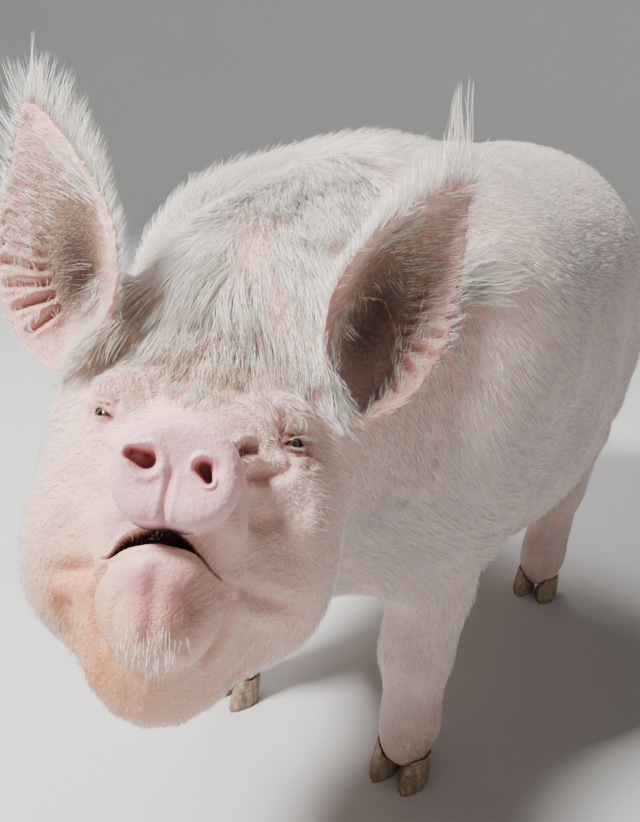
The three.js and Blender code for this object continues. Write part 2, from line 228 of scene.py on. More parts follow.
class PigCoatSettings(bpy.types.PropertyGroup):
    """Numbers, lengths and colours of the bristles."""

    body_count: count("Body bristles", "Bristles on the trunk, neck and legs", 56000)
    face_count: count("Face bristles", "Short bristles on the face and jowls", 24000)
    forelock_count: count("Forelock", "Long hairs of the poll and forehead", 6000)
    ear_count: count("Ear hair", "Hairs on each ear", 4200)
    bristle: length("Bristle", "Length of a bristle on the back", 0.032)
    forelock: length("Forelock hair", "Length of the hair on the forehead", 0.082)
    white: colour("White", "Clean bristles", (0.95, 0.92, 0.87))
    cream: colour("Cream", "Older, yellower bristles", (0.80, 0.70, 0.58))
    tan: colour("Tan", "Muddy tips", (0.44, 0.29, 0.17))


class PigPartSettings(bpy.types.PropertyGroup):
    """Sizes and colours of the eyes and hooves."""

    hoof_voxel: length("Hoof voxel", "Mesh size of the hooves", 0.0024)
    ring_depth: length("Ring depth", "Depth of the growth rings of the hooves", 0.0005)
    horn: colour("Horn", "Horn of the hooves", (0.20, 0.14, 0.09))
    iris: colour("Iris", "Iris of the eyes", (0.070, 0.030, 0.015))


class PigStageSettings(bpy.types.PropertyGroup):
    """Sizes and strengths of the stage."""

    floor_radius: length("Floor radius", "Radius of the flat of the pale floor", 6.0)
    surround: amount("Surround", "Strength of the pale surround", 0.08)


# ---------------------------------------------------------------- small helpers


def deselect_all():
    """Nothing is selected afterwards."""
    bpy.ops.object.select_all(action="DESELECT")


def select_only(piece):
    """The piece is the only selected and the active object."""
    deselect_all()
    piece.select_set(True)
    bpy.context.view_layer.objects.active = piece


def shade_smooth(piece):
    """Smooth shading on one piece."""
    select_only(piece)
    bpy.ops.object.shade_smooth()


def join(piece, other):
    """Joins another object into a piece."""
    select_only(piece)
    other.select_set(True)
    bpy.ops.object.join()


def apply_modifier(piece, kind, **values):
    """Adds one modifier and applies it at once."""
    select_only(piece)
    modifier = piece.modifiers.new(kind.title(), kind)
    for key, value in values.items():
        setattr(modifier, key, value)
    bpy.ops.object.modifier_apply(modifier=modifier.name)


def remesh(piece, voxel):
    """A new closed mesh of one even size over a piece."""
    apply_modifier(piece, "REMESH", mode="VOXEL", voxel_size=voxel)


def copy_nodes(names, name, swell=0.0):
    """One object of welded copies of CAD nodes, each swollen a little so that they overlap."""
    deselect_all()
    for node in names:
        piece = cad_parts[node].copy()
        piece.data = piece.data.copy()
        piece.parent = None
        bpy.context.collection.objects.link(piece)
        piece.select_set(True)
        bpy.context.view_layer.objects.active = piece
    if len(names) > 1:
        bpy.ops.object.join()
    piece = bpy.context.view_layer.objects.active
    piece.name = piece.data.name = name
    piece.data.materials.clear()
    bpy.ops.object.mode_set(mode="EDIT")
    bpy.ops.mesh.select_all(action="SELECT")
    bpy.ops.mesh.remove_doubles(threshold=1e-5)
    bpy.ops.transform.shrink_fatten(value=swell)
    bpy.ops.object.mode_set(mode="OBJECT")
    return piece


def read(collection, key, width, kind=np.float32):
    """Values of a mesh as an array with one row for each item."""
    flat = np.empty(len(collection) * width, dtype=kind)
    collection.foreach_get(key, flat)
    return flat.reshape(-1, width) if width > 1 else flat


def read_points(mesh):
    """The vertices as an array."""
    return read(mesh.vertices, "co", 3).astype(float)


def write_points(mesh, points):
    """Moves the vertices."""
    mesh.vertices.foreach_set("co", points.astype(np.float32).ravel())
    mesh.update()


def read_normals(mesh):
    """The vertex normals as an array."""
    return read(mesh.vertex_normals, "vector", 3).astype(float)


def read_triangles(mesh):
    """The triangles as rows of three vertex numbers."""
    mesh.calc_loop_triangles()
    return read(mesh.loop_triangles, "vertices", 3, np.int32)


def write_values(mesh, name, values):
    """Keeps one number for each vertex, for a material to read."""
    attribute = mesh.attributes.new(name, "FLOAT", "POINT")
    attribute.data.foreach_set("value", np.clip(values, 0, 1).astype(np.float32))


def smooth_step(values, low, high):
    """0 below low, 1 above high, with a soft change between."""
    share = np.clip((values - low) / (high - low), 0.0, 1.0)
    return share * share * (3 - 2 * share)


def blob(points, centre, radii):
    """1 at a centre, falling softly to nothing outside its radii."""
    away = (points - np.array(centre)) / np.array(radii)
    return np.exp(-1.5 * np.sum(away * away, axis=1))


def wavy(points, scale, seed):
    """Soft noise between -1 and 1, made of waves that cross in many directions."""
    rng = np.random.default_rng(seed)
    total = np.zeros(len(points))
    WAVES = 9
    for _ in range(WAVES):
        direction = unit(rng.normal(size=3)) * rng.uniform(0.6, 1.7) * scale
        total += np.sin(points @ direction + rng.uniform(0, 2 * math.pi))
    return np.clip(total / math.sqrt(WAVES), -1.6, 1.6) / 1.6


def even_out(mesh, points, weight, rounds, hold=-0.53):
    """Moves points towards the mean of their neighbours, and back by hold so that nothing shrinks."""
    first, second = read(mesh.edges, "vertices", 2, np.int32).T
    total_points = len(points)
    degree = np.bincount(first, minlength=total_points)
    degree = degree + np.bincount(second, minlength=total_points)
    scale = (weight / np.maximum(degree, 1))[:, None]
    for turn in range(rounds * 2):
        if turn % 2 and hold == 0:
            continue
        total = np.empty_like(points)
        for axis in range(3):
            total[:, axis] = np.bincount(first, points[second, axis], total_points)
            total[:, axis] += np.bincount(second, points[first, axis], total_points)
        step = 0.5 if turn % 2 == 0 else hold
        points = points + step * scale * (total - degree[:, None] * points)
    return points


def keep_largest_island(piece):
    """Deletes all but the biggest connected part of a mesh."""
    mesh = piece.data
    first, second = read(mesh.edges, "vertices", 2, np.int32).T
    label = np.arange(len(mesh.vertices))
    while True:
        lowest = np.minimum(label[first], label[second])
        spread = label.copy()
        np.minimum.at(spread, first, lowest)
        np.minimum.at(spread, second, lowest)
        spread = spread[spread]
        if (spread == label).all():
            break
        label = spread
    biggest = np.bincount(label).argmax()
    if (label == biggest).all():
        return
    select_only(piece)
    mesh.vertices.foreach_set("select", label != biggest)
    bpy.ops.object.mode_set(mode="EDIT")
    bpy.ops.mesh.delete(type="VERT")
    bpy.ops.object.mode_set(mode="OBJECT")


def subdivide_where(piece, chosen):
    """Divides the faces whose corners are all chosen."""
    mesh = piece.data
    faces = read(mesh.loops, "vertex_index", 1, np.int32)
    starts = read(mesh.polygons, "loop_start", 1, np.int32)
    inside = np.minimum.reduceat(chosen[faces].astype(np.int8), starts).astype(bool)
    select_only(piece)
    bpy.ops.object.mode_set(mode="EDIT")
    bpy.ops.mesh.select_all(action="DESELECT")
    bpy.ops.mesh.select_mode(type="FACE")
    bpy.ops.object.mode_set(mode="OBJECT")
    mesh.polygons.foreach_set("select", inside)
    bpy.ops.object.mode_set(mode="EDIT")
    bpy.ops.mesh.subdivide(number_cuts=1)
    bpy.ops.mesh.select_all(action="SELECT")
    bpy.ops.mesh.quads_convert_to_tris()
    bpy.ops.mesh.select_mode(type="VERT")
    bpy.ops.object.mode_set(mode="OBJECT")


# ---------------------------------------------------------------- skin: one mesh over the flesh


def make_flesh():
    """The flesh without the ears, heavily evened so that no facet or seam is left."""
    names = [node for node in FLESH if node not in EARS] + EYES
    flesh = copy_nodes(names, "skin", swell=0.0006)
    remesh(flesh, bpy.context.scene.pig_skin.rough_voxel)
    keep_largest_island(flesh)
    points = read_points(flesh.data)
    local = HEAD.local(points)
    behind_head = smooth_step(local[:, 1], 0.17, 0.36)
    high = smooth_step(points[:, 2], 0.24, 0.52)
    on_tail = smooth_step(points[:, 1], 0.700, 0.740)
    firm = 1 - 0.93 * on_tail
    body = behind_head * high * firm
    points = even_out(flesh.data, points, body, 90, hold=0)
    rest = (1 - body) * firm * (0.10 + 0.30 * behind_head)
    points = even_out(flesh.data, points, rest, 40)
    write_points(flesh.data, points)
    return flesh


def make_ears():
    """Both ears on a finer mesh, without the locks of hair at their tips."""
    BELOW_TIP = 0.004
    ears = copy_nodes(EARS, "ears", swell=0.0014)
    bpy.ops.object.mode_set(mode="EDIT")
    for side in SIDES.values():
        bpy.ops.mesh.select_all(action="SELECT")
        up = HEAD.turn(ear_up(side))
        cut = HEAD.world(on_side(EAR_TIP, side)) - BELOW_TIP * up
        bpy.ops.object.mode_set(mode="OBJECT")
        local = HEAD.local(read_points(ears.data))
        ears.data.vertices.foreach_set("select", local[:, 0] * side > 0)
        bpy.ops.object.mode_set(mode="EDIT")
        bpy.ops.mesh.bisect(plane_co=cut, plane_no=up, use_fill=True, clear_outer=True)
    bpy.ops.object.mode_set(mode="OBJECT")
    remesh(ears, bpy.context.scene.pig_skin.ear_voxel)
    points = read_points(ears.data)
    points = even_out(ears.data, points, np.ones(len(points)), 30)
    write_points(ears.data, points)
    return ears


def draw_in(points, power):
    """Draws what lies far from the head towards it; 1 / power undoes it.

    One voxel size then gives a fine mesh on the head and a coarser one on the body.
    """
    REACH = 0.40
    centre = HEAD.world((0, 0.17, 0.06))
    away = points - centre
    distance = np.linalg.norm(away, axis=1)
    factor = np.where(distance > REACH, (np.maximum(distance, REACH) / REACH) ** (power - 1), 1)
    return centre + away * factor[:, None]


def make_base_skin():
    """One closed skin over all the flesh, finest on the head."""
    DRAW = 0.5
    KEEP = 0.54
    skin = make_flesh()
    join(skin, make_ears())
    write_points(skin.data, draw_in(read_points(skin.data), DRAW))
    remesh(skin, bpy.context.scene.pig_skin.skin_voxel)
    keep_largest_island(skin)
    points = draw_in(read_points(skin.data), 1 / DRAW)
    points = even_out(skin.data, points, np.ones(len(points)), 8)
    write_points(skin.data, points)
    calm = skin.vertex_groups.new(name="calm")
    behind_head = HEAD.local(points)[:, 1] > 0.34
    calm.add(np.nonzero(behind_head)[0].tolist(), 1.0, "REPLACE")
    apply_modifier(skin, "DECIMATE", ratio=KEEP, vertex_group="calm", vertex_group_factor=1.0)
    skin.vertex_groups.clear()
    return skin


# ---------------------------------------------------------------- skin: how it is shaped

MARKS = ("flush", "dark_and_shade", "dirt_and_shade", "stain_and_shade", "grey", "bare")


def curve_through(places, steps=6):
    """A smooth line through a few places."""
    places = np.array(places, dtype=float)
    padded = np.vstack([2 * places[0] - places[1], places, 2 * places[-1] - places[-2]])
    line = []
    for before, start, end, after in zip(padded, padded[1:], padded[2:], padded[3:]):
        for share in np.arange(steps) / steps:
            line.append(0.5 * (
                2 * start + (end - before) * share
                + (2 * before - 5 * start + 4 * end - after) * share ** 2
                + (3 * start - before - 3 * end + after) * share ** 3
            ))
    return np.array(line + [places[-1]])


class Sculptor:
    """Shapes the skin in the head's own axes and keeps a mark where a move colours it."""

    def __init__(self, skin):
        self.skin = skin
        self.marks = {}
        self.refresh()

    def refresh(self):
        """Reads the places and normals from the mesh."""
        self.points = HEAD.local(read_points(self.skin.data))
        self.normals = HEAD.turn_back(read_normals(self.skin.data))

    def commit(self, weight=None, rounds=0):
        """Writes the places to the mesh, evened a little where weight says."""
        if rounds:
            self.points = even_out(self.skin.data, self.points, weight, rounds)
        write_points(self.skin.data, HEAD.world(self.points))
        self.refresh()

    def divide(self, chosen):
        """A mesh twice as fine where chosen is true."""
        write_points(self.skin.data, HEAD.world(self.points))
        subdivide_where(self.skin, chosen)
        self.refresh()

    def start_marks(self):
        """Clean marks for the finished mesh."""
        self.marks = {name: np.zeros(len(self.points)) for name in MARKS}

    def mark(self, name, values):
        """Adds to a mark."""
        self.marks[name] += values

    def crease(self, places, width, depth, bank=0.0, flush=0.0, dark_and_shade=0.0, taper=0.2, reach=0.02):
        """A groove along a smooth line, with rounded banks, in the skin within reach of it."""
        line = curve_through(places)
        low, high = line.min(axis=0) - 5 * width, line.max(axis=0) + 5 * width
        near = np.nonzero(np.all((self.points > low) & (self.points < high), axis=1))[0]
        points, normals = self.points[near], self.normals[near]
        best = np.full(len(near), np.inf)
        across = np.full(len(near), np.inf)
        share = np.zeros(len(near))
        for number, (start, end) in enumerate(zip(line, line[1:])):
            span = end - start
            along = np.clip((points - start) @ span / max(span @ span, 1e-12), 0, 1)
            away = points - start - along[:, None] * span
            distance = np.linalg.norm(away, axis=1)
            flat = away - normals * np.sum(away * normals, axis=1)[:, None]
            closer = distance < best
            best = np.where(closer, distance, best)
            across = np.where(closer, np.linalg.norm(flat, axis=1), across)
            share = np.where(closer, (number + along) / (len(line) - 1), share)
        fade = smooth_step(share, 0, taper) * smooth_step(1 - share, 0, taper)
        fade *= 1 - smooth_step(best, reach + 2 * width, 1.5 * reach + 3 * width)
        groove = fade * np.exp(-(across / width) ** 2)
        banks = fade * np.exp(-((across - 1.9 * width) / width) ** 2)
        self.points[near] += (bank * banks - depth * groove)[:, None] * normals
        # Blood and painted shade along the groove
        if self.marks:
            self.marks["flush"][near] += flush * groove
            self.marks["dark_and_shade"][near] += dark_and_shade * groove

    def both_sides(self, places, **shape):
        """The same crease on the left and the right side."""
        for side in SIDES.values():
            self.crease([on_side(place, side) for place in places], **shape)

    def swell(self, centre, radii, height):
        """A soft rise, or a dent where height is negative."""
        self.points += (height * blob(self.points, centre, radii))[:, None] * self.normals


def near_line(points, places, full, none):
    """1 within one distance of a smooth line, and 0 beyond the other."""
    line = curve_through(places)
    away = np.min([np.linalg.norm(points - place, axis=1) for place in line], axis=0)
    return 1 - smooth_step(away, full, none)


def ear_share(points):
    """1 on the ears and 0 elsewhere, and the side each point is on, in the head's own axes."""
    FAR = 0.03
    share = np.zeros(len(points))
    beside = (np.abs(points[:, 0]) > 0.10) & (points[:, 2] > 0.04)
    for number in np.nonzero(beside)[0]:
        place = Vector(HEAD.world(points[number]))
        to_ear = EAR_TREE.find_nearest(place, FAR)[3]
        if to_ear is None:
            continue
        to_rest = REST_TREE.find_nearest(place, FAR)[3]
        share[number] = 1.0 if to_rest is None else (to_rest - to_ear + 0.002) / 0.012
    return np.clip(share, 0, 1), which_side(points)


def mirror_left(points):
    """The points with those of the right side mirrored to the left."""
    return np.column_stack([np.abs(points[:, 0]), points[:, 1:]])


def inset_for_coat(sculptor):
    """Takes the skin in by the depth of the coat that will lie over it."""
    sizes = bpy.context.scene.pig_skin
    points = sculptor.points
    on_head = 1 - smooth_step(points[:, 1], 0.24, 0.36)
    forelock = blob(points, (0, 0.22, 0.24), (0.17, 0.14, 0.17))
    depth = sizes.body_coat + (sizes.face_coat - sizes.body_coat) * on_head
    depth += 0.006 * forelock
    depth *= 1 - 0.9 * ear_share(points)[0]
    depth *= smooth_step(points[:, 1], 0.01, 0.06)
    world = HEAD.world(points)
    depth *= 0.35 + 0.65 * smooth_step(world[:, 2], 0.10, 0.40)
    sculptor.points = points - depth[:, None] * sculptor.normals
    sculptor.commit()


EYE_AXIS = (0.70, -0.68, 0.22)


def eye_axes(side):
    """The middle of an eye, and its directions to the nose, up the lid and out of the head."""
    centre = on_side((0.092, HEAD.EYE_BACK, HEAD.EYE_UP), side)
    outward = unit(on_side(EYE_AXIS, side))
    to_nose = unit(np.cross(outward, (0, 0, 1))) * side
    upward = np.cross(to_nose, outward) * side
    TILT = math.radians(9)
    inner = math.cos(TILT) * to_nose - math.sin(TILT) * upward
    return centre, inner, math.cos(TILT) * upward + math.sin(TILT) * to_nose, outward


def shape_lids(sculptor, side):
    """Two lids over an eye, with an almond opening between them."""
    UPPER, LOWER, LID, INSIDE = 0.0050, 0.0036, 0.0016, 0.0042
    GATHER, AROUND = 0.55, 0.034
    centre, inner, upward, outward = eye_axes(side)
    away = sculptor.points - centre
    u, v, w = away @ inner, away @ upward, away @ outward
    near = (np.linalg.norm(away, axis=1) < AROUND) & (w > -0.002)
    u, v, w = u[near], v[near], w[near]
    sideways_share = u / EYE_HALF_WIDTH
    height = np.where(v > 0, UPPER, LOWER) * (1 - 0.35 * np.clip(sideways_share, -1, 1) ** 2)
    ratio = np.sqrt(sideways_share ** 2 + (v / height) ** 2)
    closer = ratio - GATHER * (ratio - 1) * np.exp(-((ratio - 1) / 0.5) ** 2)
    scale = closer / np.maximum(ratio, 1e-6)
    u, v, ratio = u * scale, v * scale, closer
    across = u * u + v * v
    cover = np.sqrt(np.maximum((EYE_RADIUS + LID) ** 2 - across, 0))
    behind = np.sqrt(np.maximum((EYE_RADIUS - INSIDE) ** 2 - across, 0)) - 0.001
    beyond = smooth_step(ratio, 1.6, 4.2)
    lid = np.maximum(w, cover * (1 - beyond) + w * beyond)
    w = behind + (lid - behind) * smooth_step(ratio, 0.90, 1.04)
    sculptor.points[near] = centre + u[:, None] * inner + v[:, None] * upward + w[:, None] * outward
    rim = np.exp(-((ratio - 1.0) / 0.28) ** 2)
    sculptor.marks["dark_and_shade"][near] += 0.85 * np.maximum(rim, ratio < 1.0)
    sculptor.marks["dark_and_shade"][near] += 0.30 * np.exp(-(ratio / 2.2) ** 2)
    sculptor.marks["flush"][near] += 0.85 * np.exp(-((ratio - 1.5) / 1.2) ** 2)


def fold_round_eye(sculptor, side, strength):
    """The folds of the lids, the heavy brow and the bags under the eye."""
    centre, inner, upward, outward = eye_axes(side)

    def at(u, v, out=0.010):
        return centre + u * inner + v * upward + out * outward

    sculptor.swell(at(0.000, 0.026), (0.034, 0.034, 0.020), 0.0085 * strength)
    sculptor.swell(at(-0.004, -0.022), (0.026, 0.026, 0.013), 0.0050 * strength)
    sculptor.commit()
    for rise, width, depth in ((0.0105, 0.0022, 0.0030), (0.0185, 0.0028, 0.0032),
                               (0.029, 0.0034, 0.0036), (0.042, 0.0044, 0.0034)):
        arc = [at(0.020, rise * 0.15), at(0.012, rise * 0.8), at(0.0, rise * 1.05),
               at(-0.014, rise * 0.85), at(-0.026, rise * 0.2)]
        sculptor.crease(arc, width=width, depth=depth * strength, bank=0.0009, flush=0.5)
    for drop, width, depth in ((-0.0095, 0.0020, 0.0026), (-0.0165, 0.0026, 0.0030),
                               (-0.0255, 0.0034, 0.0026)):
        arc = [at(0.018, drop * 0.1), at(0.010, drop * 0.85), at(-0.004, drop * 1.05),
               at(-0.018, drop * 0.6), at(-0.024, drop * 0.1)]
        sculptor.crease(arc, width=width, depth=depth * strength, bank=0.0008, flush=0.45)
    for slant in (-0.5, 0.1, 0.6):
        sculptor.crease(
            [at(-0.013, 0.006 * slant), at(-0.024, 0.022 * slant), at(-0.036, 0.040 * slant)],
            width=0.0022, depth=0.0020 * strength, flush=0.3,
        )


def shape_nose(sculptor):
    """The nose disc with its two nostrils, rolled rim and groove, and the rings behind it."""
    points = sculptor.points
    front = 1 - smooth_step(points[:, 1], 0.010, 0.024)
    for side, centre_x, tail, size, nostril_shade in ((1, 0.0215, (0.006, -0.009), 0.0066, 0.66),
                                             (-1, -0.0270, (0.012, 0.003), 0.0092, 0.46)):
        start = np.array((centre_x, 0.008))
        end = start + np.array(tail) * (side, 1)
        span = end - start
        flat = points[:, [0, 2]] - start
        along = np.clip(flat @ span / (span @ span), 0, 1)
        distance = np.linalg.norm(flat - along[:, None] * span, axis=1)
        radius = size * (1 - 0.42 * along)
        ratio = distance / radius
        inside = front * (points[:, 1] < 0.03)
        pit = (1 - smooth_step(ratio, 0.55, 1.12)) * inside
        rolled = np.exp(-((ratio - 1.65) / 0.42) ** 2) * inside
        sculptor.points[:, 1] += 0.014 * pit - 0.0026 * rolled
        # Painted shade in the nostril pits, stronger in the left one
        sculptor.mark("dark_and_shade", nostril_shade * (1 - smooth_step(ratio, 0.35, 1.05)) * inside)
        sculptor.mark("flush", 0.75 * np.exp(-((ratio - 0.7) / 0.5) ** 2) * inside)
    sculptor.commit()
    sculptor.crease([(-0.003, 0.0, 0.010), (-0.004, 0.0, -0.012), (-0.004, 0.002, -0.030),
                     (-0.004, 0.010, -0.044)], width=0.0032, depth=0.0030, bank=0.0010, flush=0.5)
    turns = np.linspace(0, 2 * math.pi, 21)
    ring = [(0.051 * math.sin(turn), 0.027, 0.046 * math.cos(turn)) for turn in turns]
    sculptor.crease(ring, width=0.0050, depth=0.0085, bank=0.0020, flush=0.45, taper=1e-3,
                    reach=0.002)
    sculptor.points[:, 1] += 0.0035 * blob(sculptor.points, (0, 0.0, 0.004), (0.034, 0.02, 0.030))
    lobes = blob(sculptor.points, (-0.020, 0.008, -0.028), (0.020, 0.02, 0.016))
    lobes = lobes + blob(sculptor.points, (0.016, 0.008, -0.028), (0.020, 0.02, 0.016))
    sculptor.points += (0.0040 * lobes)[:, None] * sculptor.normals
    sculptor.commit()
    for back, depth in ((0.052, 0.0030), (0.070, 0.0030), (0.090, 0.0024)):
        wide = 0.050 + 0.18 * (back - 0.03)
        rise = 0.045 + 0.25 * (back - 0.03)
        sculptor.crease([(-wide, back + 0.004, 0.004), (-0.75 * wide, back, 0.7 * rise),
                         (0, back - 0.003, rise + 0.004), (0.75 * wide, back, 0.7 * rise),
                         (wide, back + 0.004, 0.004)],
                        width=0.0042, depth=depth, bank=0.0011, flush=0.22)
    back = sculptor.points[:, 1]
    sculptor.commit(0.8 * smooth_step(back, 0.014, 0.022) * (1 - smooth_step(back, 0.060, 0.090)), 3)


MOUTH_LINE = [(-0.062, 0.082, -0.084), (-0.050, 0.062, -0.076), (-0.033, 0.048, -0.061),
              (-0.009, 0.036, -0.050), (0.010, 0.038, -0.054), (0.026, 0.042, -0.063),
              (0.042, 0.050, -0.076), (0.063, 0.080, -0.090)]


def shape_mouth(sculptor):
    """The arched opening between the lips, and the lips' rolled edges."""
    line = curve_through(MOUTH_LINE, steps=8)
    points, normals = sculptor.points, sculptor.normals
    near = np.nonzero(np.linalg.norm(points - line.mean(axis=0), axis=1) < 0.11)[0]
    found = nearest_of(line, points[near])
    share = found / (len(line) - 1)
    away = points[near] - line[found]
    height = away[:, 2] + 0.25 * away[:, 1]
    gape = 0.0066 * np.clip(1 - ((share - 0.41) / 0.33) ** 2, 0, 1) ** 1.1 + 0.0004
    centre_drop = 0.35 * gape
    ratio = np.abs(height + centre_drop) / np.maximum(gape, 0.0016)
    close = 1 - smooth_step(np.linalg.norm(away, axis=1), 0.022, 0.034)
    open_share = (1 - smooth_step(ratio, 0.70, 1.15)) * close
    fade = smooth_step(share, 0.0, 0.10) * smooth_step(1 - share, 0.0, 0.10)
    depth = 0.003 + 0.020 * np.clip(gape / 0.0066, 0, 1)
    push = (depth * open_share * fade)[:, None]
    into = unit(np.array((0.0, 0.97, -0.15)))
    roll = 0.0032 * np.exp(-((ratio - 1.75) / 0.55) ** 2) * close * fade
    roll *= np.clip(gape / 0.004, 0, 1)
    sculptor.points[near] += push * into + roll[:, None] * normals[near]
    # Painted shade inside the opening of the mouth, stronger where it gapes wider
    shut = 0.35 + 0.65 * np.clip(gape / 0.003, 0, 1)
    sculptor.marks["dark_and_shade"][near] += 1.1 * (1 - smooth_step(ratio, 0.75, 1.35)) * close * fade * shut
    sculptor.marks["flush"][near] += 0.2 * np.exp(-((ratio - 1.3) / 0.5) ** 2) * close * fade
    ragged = np.zeros(len(sculptor.points))
    ragged[near] = close * (1 - smooth_step(ratio, 1.6, 2.4)) * 0.9
    sculptor.commit(ragged, 3)


def shape_chin(sculptor):
    """The lower lip's two lobes, the groove down the chin, and the folds beside it."""
    sculptor.swell((-0.024, 0.030, -0.086), (0.022, 0.022, 0.018), 0.0045)
    sculptor.swell((0.018, 0.032, -0.088), (0.022, 0.022, 0.018), 0.0045)
    sculptor.commit()
    sculptor.crease([(-0.004, 0.030, -0.070), (-0.003, 0.024, -0.095), (-0.001, 0.028, -0.125),
                     (0.000, 0.040, -0.152)], width=0.0066, depth=0.0032, bank=0.0008, flush=0.8)
    for side, reach in ((-1, 1.0), (1, 0.8)):
        sculptor.crease([(side * 0.050, 0.064, -0.080), (side * 0.060, 0.078, -0.105),
                         (side * 0.058, 0.086, -0.135), (side * 0.046, 0.094, -0.170)],
                        width=0.0075, depth=0.0085 * reach, bank=0.002, flush=0.45)
        sculptor.crease([(side * 0.030, 0.034, -0.100), (side * 0.036, 0.046, -0.128),
                         (side * 0.026, 0.052, -0.155)], width=0.0050, depth=0.0026, flush=0.2)
    sculptor.both_sides([(0.066, 0.082, -0.088), (0.086, 0.112, -0.098), (0.108, 0.150, -0.098)],
                        width=0.0085, depth=0.0065, bank=0.0015, flush=0.25)


def shape_face(sculptor):
    """The folds that run from the snout to the eyes, over the cheeks and under the jowls."""
    # The deep fold from the nose to the left eye, with painted shade along it
    sculptor.crease([(0.047, 0.030, 0.026), (0.053, 0.062, 0.034), (0.054, 0.090, 0.036),
                     (0.058, 0.112, 0.044), (0.072, 0.128, 0.046)],
                    width=0.0060, depth=0.0120, bank=0.0030, flush=1.0, dark_and_shade=0.28)
    sculptor.crease([(-0.047, 0.030, 0.026), (-0.054, 0.062, 0.034), (-0.056, 0.090, 0.038),
                     (-0.064, 0.118, 0.046)], width=0.0060, depth=0.0060, bank=0.0020, flush=0.6)
    sculptor.crease([(0.060, 0.075, 0.012), (0.070, 0.100, 0.016), (0.084, 0.124, 0.022),
                     (0.106, 0.146, 0.030)], width=0.0070, depth=0.0060, bank=0.0022, flush=0.6)
    sculptor.crease([(-0.060, 0.075, 0.012), (-0.074, 0.106, 0.016), (-0.100, 0.140, 0.026)],
                    width=0.0065, depth=0.0042, bank=0.0015, flush=0.35)
    sculptor.both_sides([(0.064, 0.070, -0.030), (0.090, 0.110, -0.022), (0.122, 0.150, -0.006)],
                        width=0.0120, depth=0.0038, bank=0.0010, flush=0.10)
    sculptor.both_sides([(0.092, 0.120, -0.120), (0.100, 0.135, -0.160), (0.080, 0.140, -0.200)],
                        width=0.0130, depth=0.0060, bank=0.0015, flush=0.12)
    for back, reach in ((0.150, 0.060), (0.172, 0.075), (0.198, 0.085)):
        sculptor.crease([(-reach, back + 0.012, 0.095 + 0.6 * (back - 0.15)),
                         (0.0, back - 0.010, 0.118 + 0.9 * (back - 0.15)),
                         (reach, back + 0.012, 0.095 + 0.6 * (back - 0.15))],
                        width=0.0060, depth=0.0024, bank=0.0010, flush=0.15)


FRONT_RIM = [(0.150, 0.180, 0.150), (0.138, 0.160, 0.215), (0.133, 0.157, 0.262),
             (0.165, 0.160, 0.320), (0.225, 0.180, 0.362)]
EAR_HUB = (0.168, 0.236, 0.215)
EAR_FAN = [(0.285, 0.246, 0.300), (0.286, 0.248, 0.272), (0.283, 0.246, 0.244),
           (0.273, 0.240, 0.215), (0.258, 0.236, 0.188), (0.238, 0.232, 0.162),
           (0.215, 0.230, 0.138)]


def shape_ears(sculptor):
    """A thin leaf, a deep hollow at the root and the fan of folds that runs to the rear rim."""
    REACH, PUSH, HUB_STEP, START = 0.11, 0.010, 0.006, 0.30
    opens = ear_opening(which_side(sculptor.points))
    facing = np.sum(sculptor.normals * opens, axis=1)
    mirrored = mirror_left(sculptor.points)
    near_root = np.sum((mirrored - EAR_ROOT) ** 2, axis=1) < REACH ** 2
    facing_out = smooth_step(facing, -0.25, 0.20) * near_root
    hollow = blob(mirrored, (0.165, 0.225, 0.215), (0.060, 0.070, 0.085))
    calm = np.clip(hollow * 2.2, 0, 1) * facing_out
    sculptor.commit(calm, 60)
    pushed = blob(mirrored, (0.160, 0.225, 0.222), (0.034, 0.05, 0.060))
    sculptor.points -= (PUSH * pushed * facing_out)[:, None] * opens
    sculptor.commit(calm, 10)
    for number, rim in enumerate(EAR_FAN):
        hub = np.array(EAR_HUB) + (0, 0, HUB_STEP * (3 - number))
        start = hub + START * (rim - hub)
        middle_place = 0.45 * start + 0.55 * np.array(rim) + (0, 0.004, 0.003)
        sculptor.both_sides([start, middle_place, rim], width=0.0046, depth=0.0026 + 0.0005 * number,
                            bank=0.0030, flush=0.45, taper=0.22)
    sculptor.both_sides([(0.150, 0.190, 0.190), (0.150, 0.185, 0.235), (0.165, 0.180, 0.290),
                         (0.195, 0.178, 0.335)], width=0.0060, depth=0.0035, bank=0.0020)


TEATS = 7
TEAT_OUT, FIRST_TEAT, TEAT_GAP, TEAT_MIDDLE = 0.075, -0.16, 0.105, 0.155


def shape_body(sculptor):
    """Slack folds on the neck, at the elbows and flanks, and the teats along the belly."""
    world = HEAD.world(sculptor.points)
    normals = HEAD.turn(sculptor.normals)
    behind_head = smooth_step(sculptor.points[:, 1], 0.28, 0.42)
    slack = wavy(world, 14.0, seed=3) * 0.0040 + wavy(world, 34.0, seed=4) * 0.0016
    low = smooth_step(world[:, 2], 0.26, 0.42)
    off_tail = 1 - smooth_step(world[:, 1], 0.70, 0.73)
    sculptor.points += (slack * behind_head * low * off_tail)[:, None] * sculptor.normals
    for side in SIDES.values():
        for row in range(TEATS):
            place = np.array((side * TEAT_OUT, FIRST_TEAT + TEAT_GAP * row))
            flat = np.linalg.norm(world[:, :2] - place, axis=1)
            below = (normals[:, 2] < -0.4) & (world[:, 2] < 0.45)
            teat = 0.011 * np.exp(-(flat / 0.0075) ** 2) + 0.004 * np.exp(-(flat / 0.022) ** 2)
            sculptor.points += (teat * below)[:, None] * sculptor.normals
            sculptor.mark("flush", 0.5 * np.exp(-(flat / 0.012) ** 2) * below)
    sculptor.commit()
    elbow = ((0.265, -0.215, 0.47), (0.25, -0.20, 0.40), (0.20, -0.19, 0.36), (0.12, -0.20, 0.345))
    flank = ((0.285, 0.36, 0.50), (0.27, 0.43, 0.42), (0.22, 0.46, 0.36))
    for side in SIDES.values():
        for places, width, depth in ((elbow, 0.014, 0.012), (flank, 0.018, 0.010)):
            line = [HEAD.local(on_side(place, side)) for place in places]
            sculptor.crease(line, width=width, depth=depth, bank=0.004)


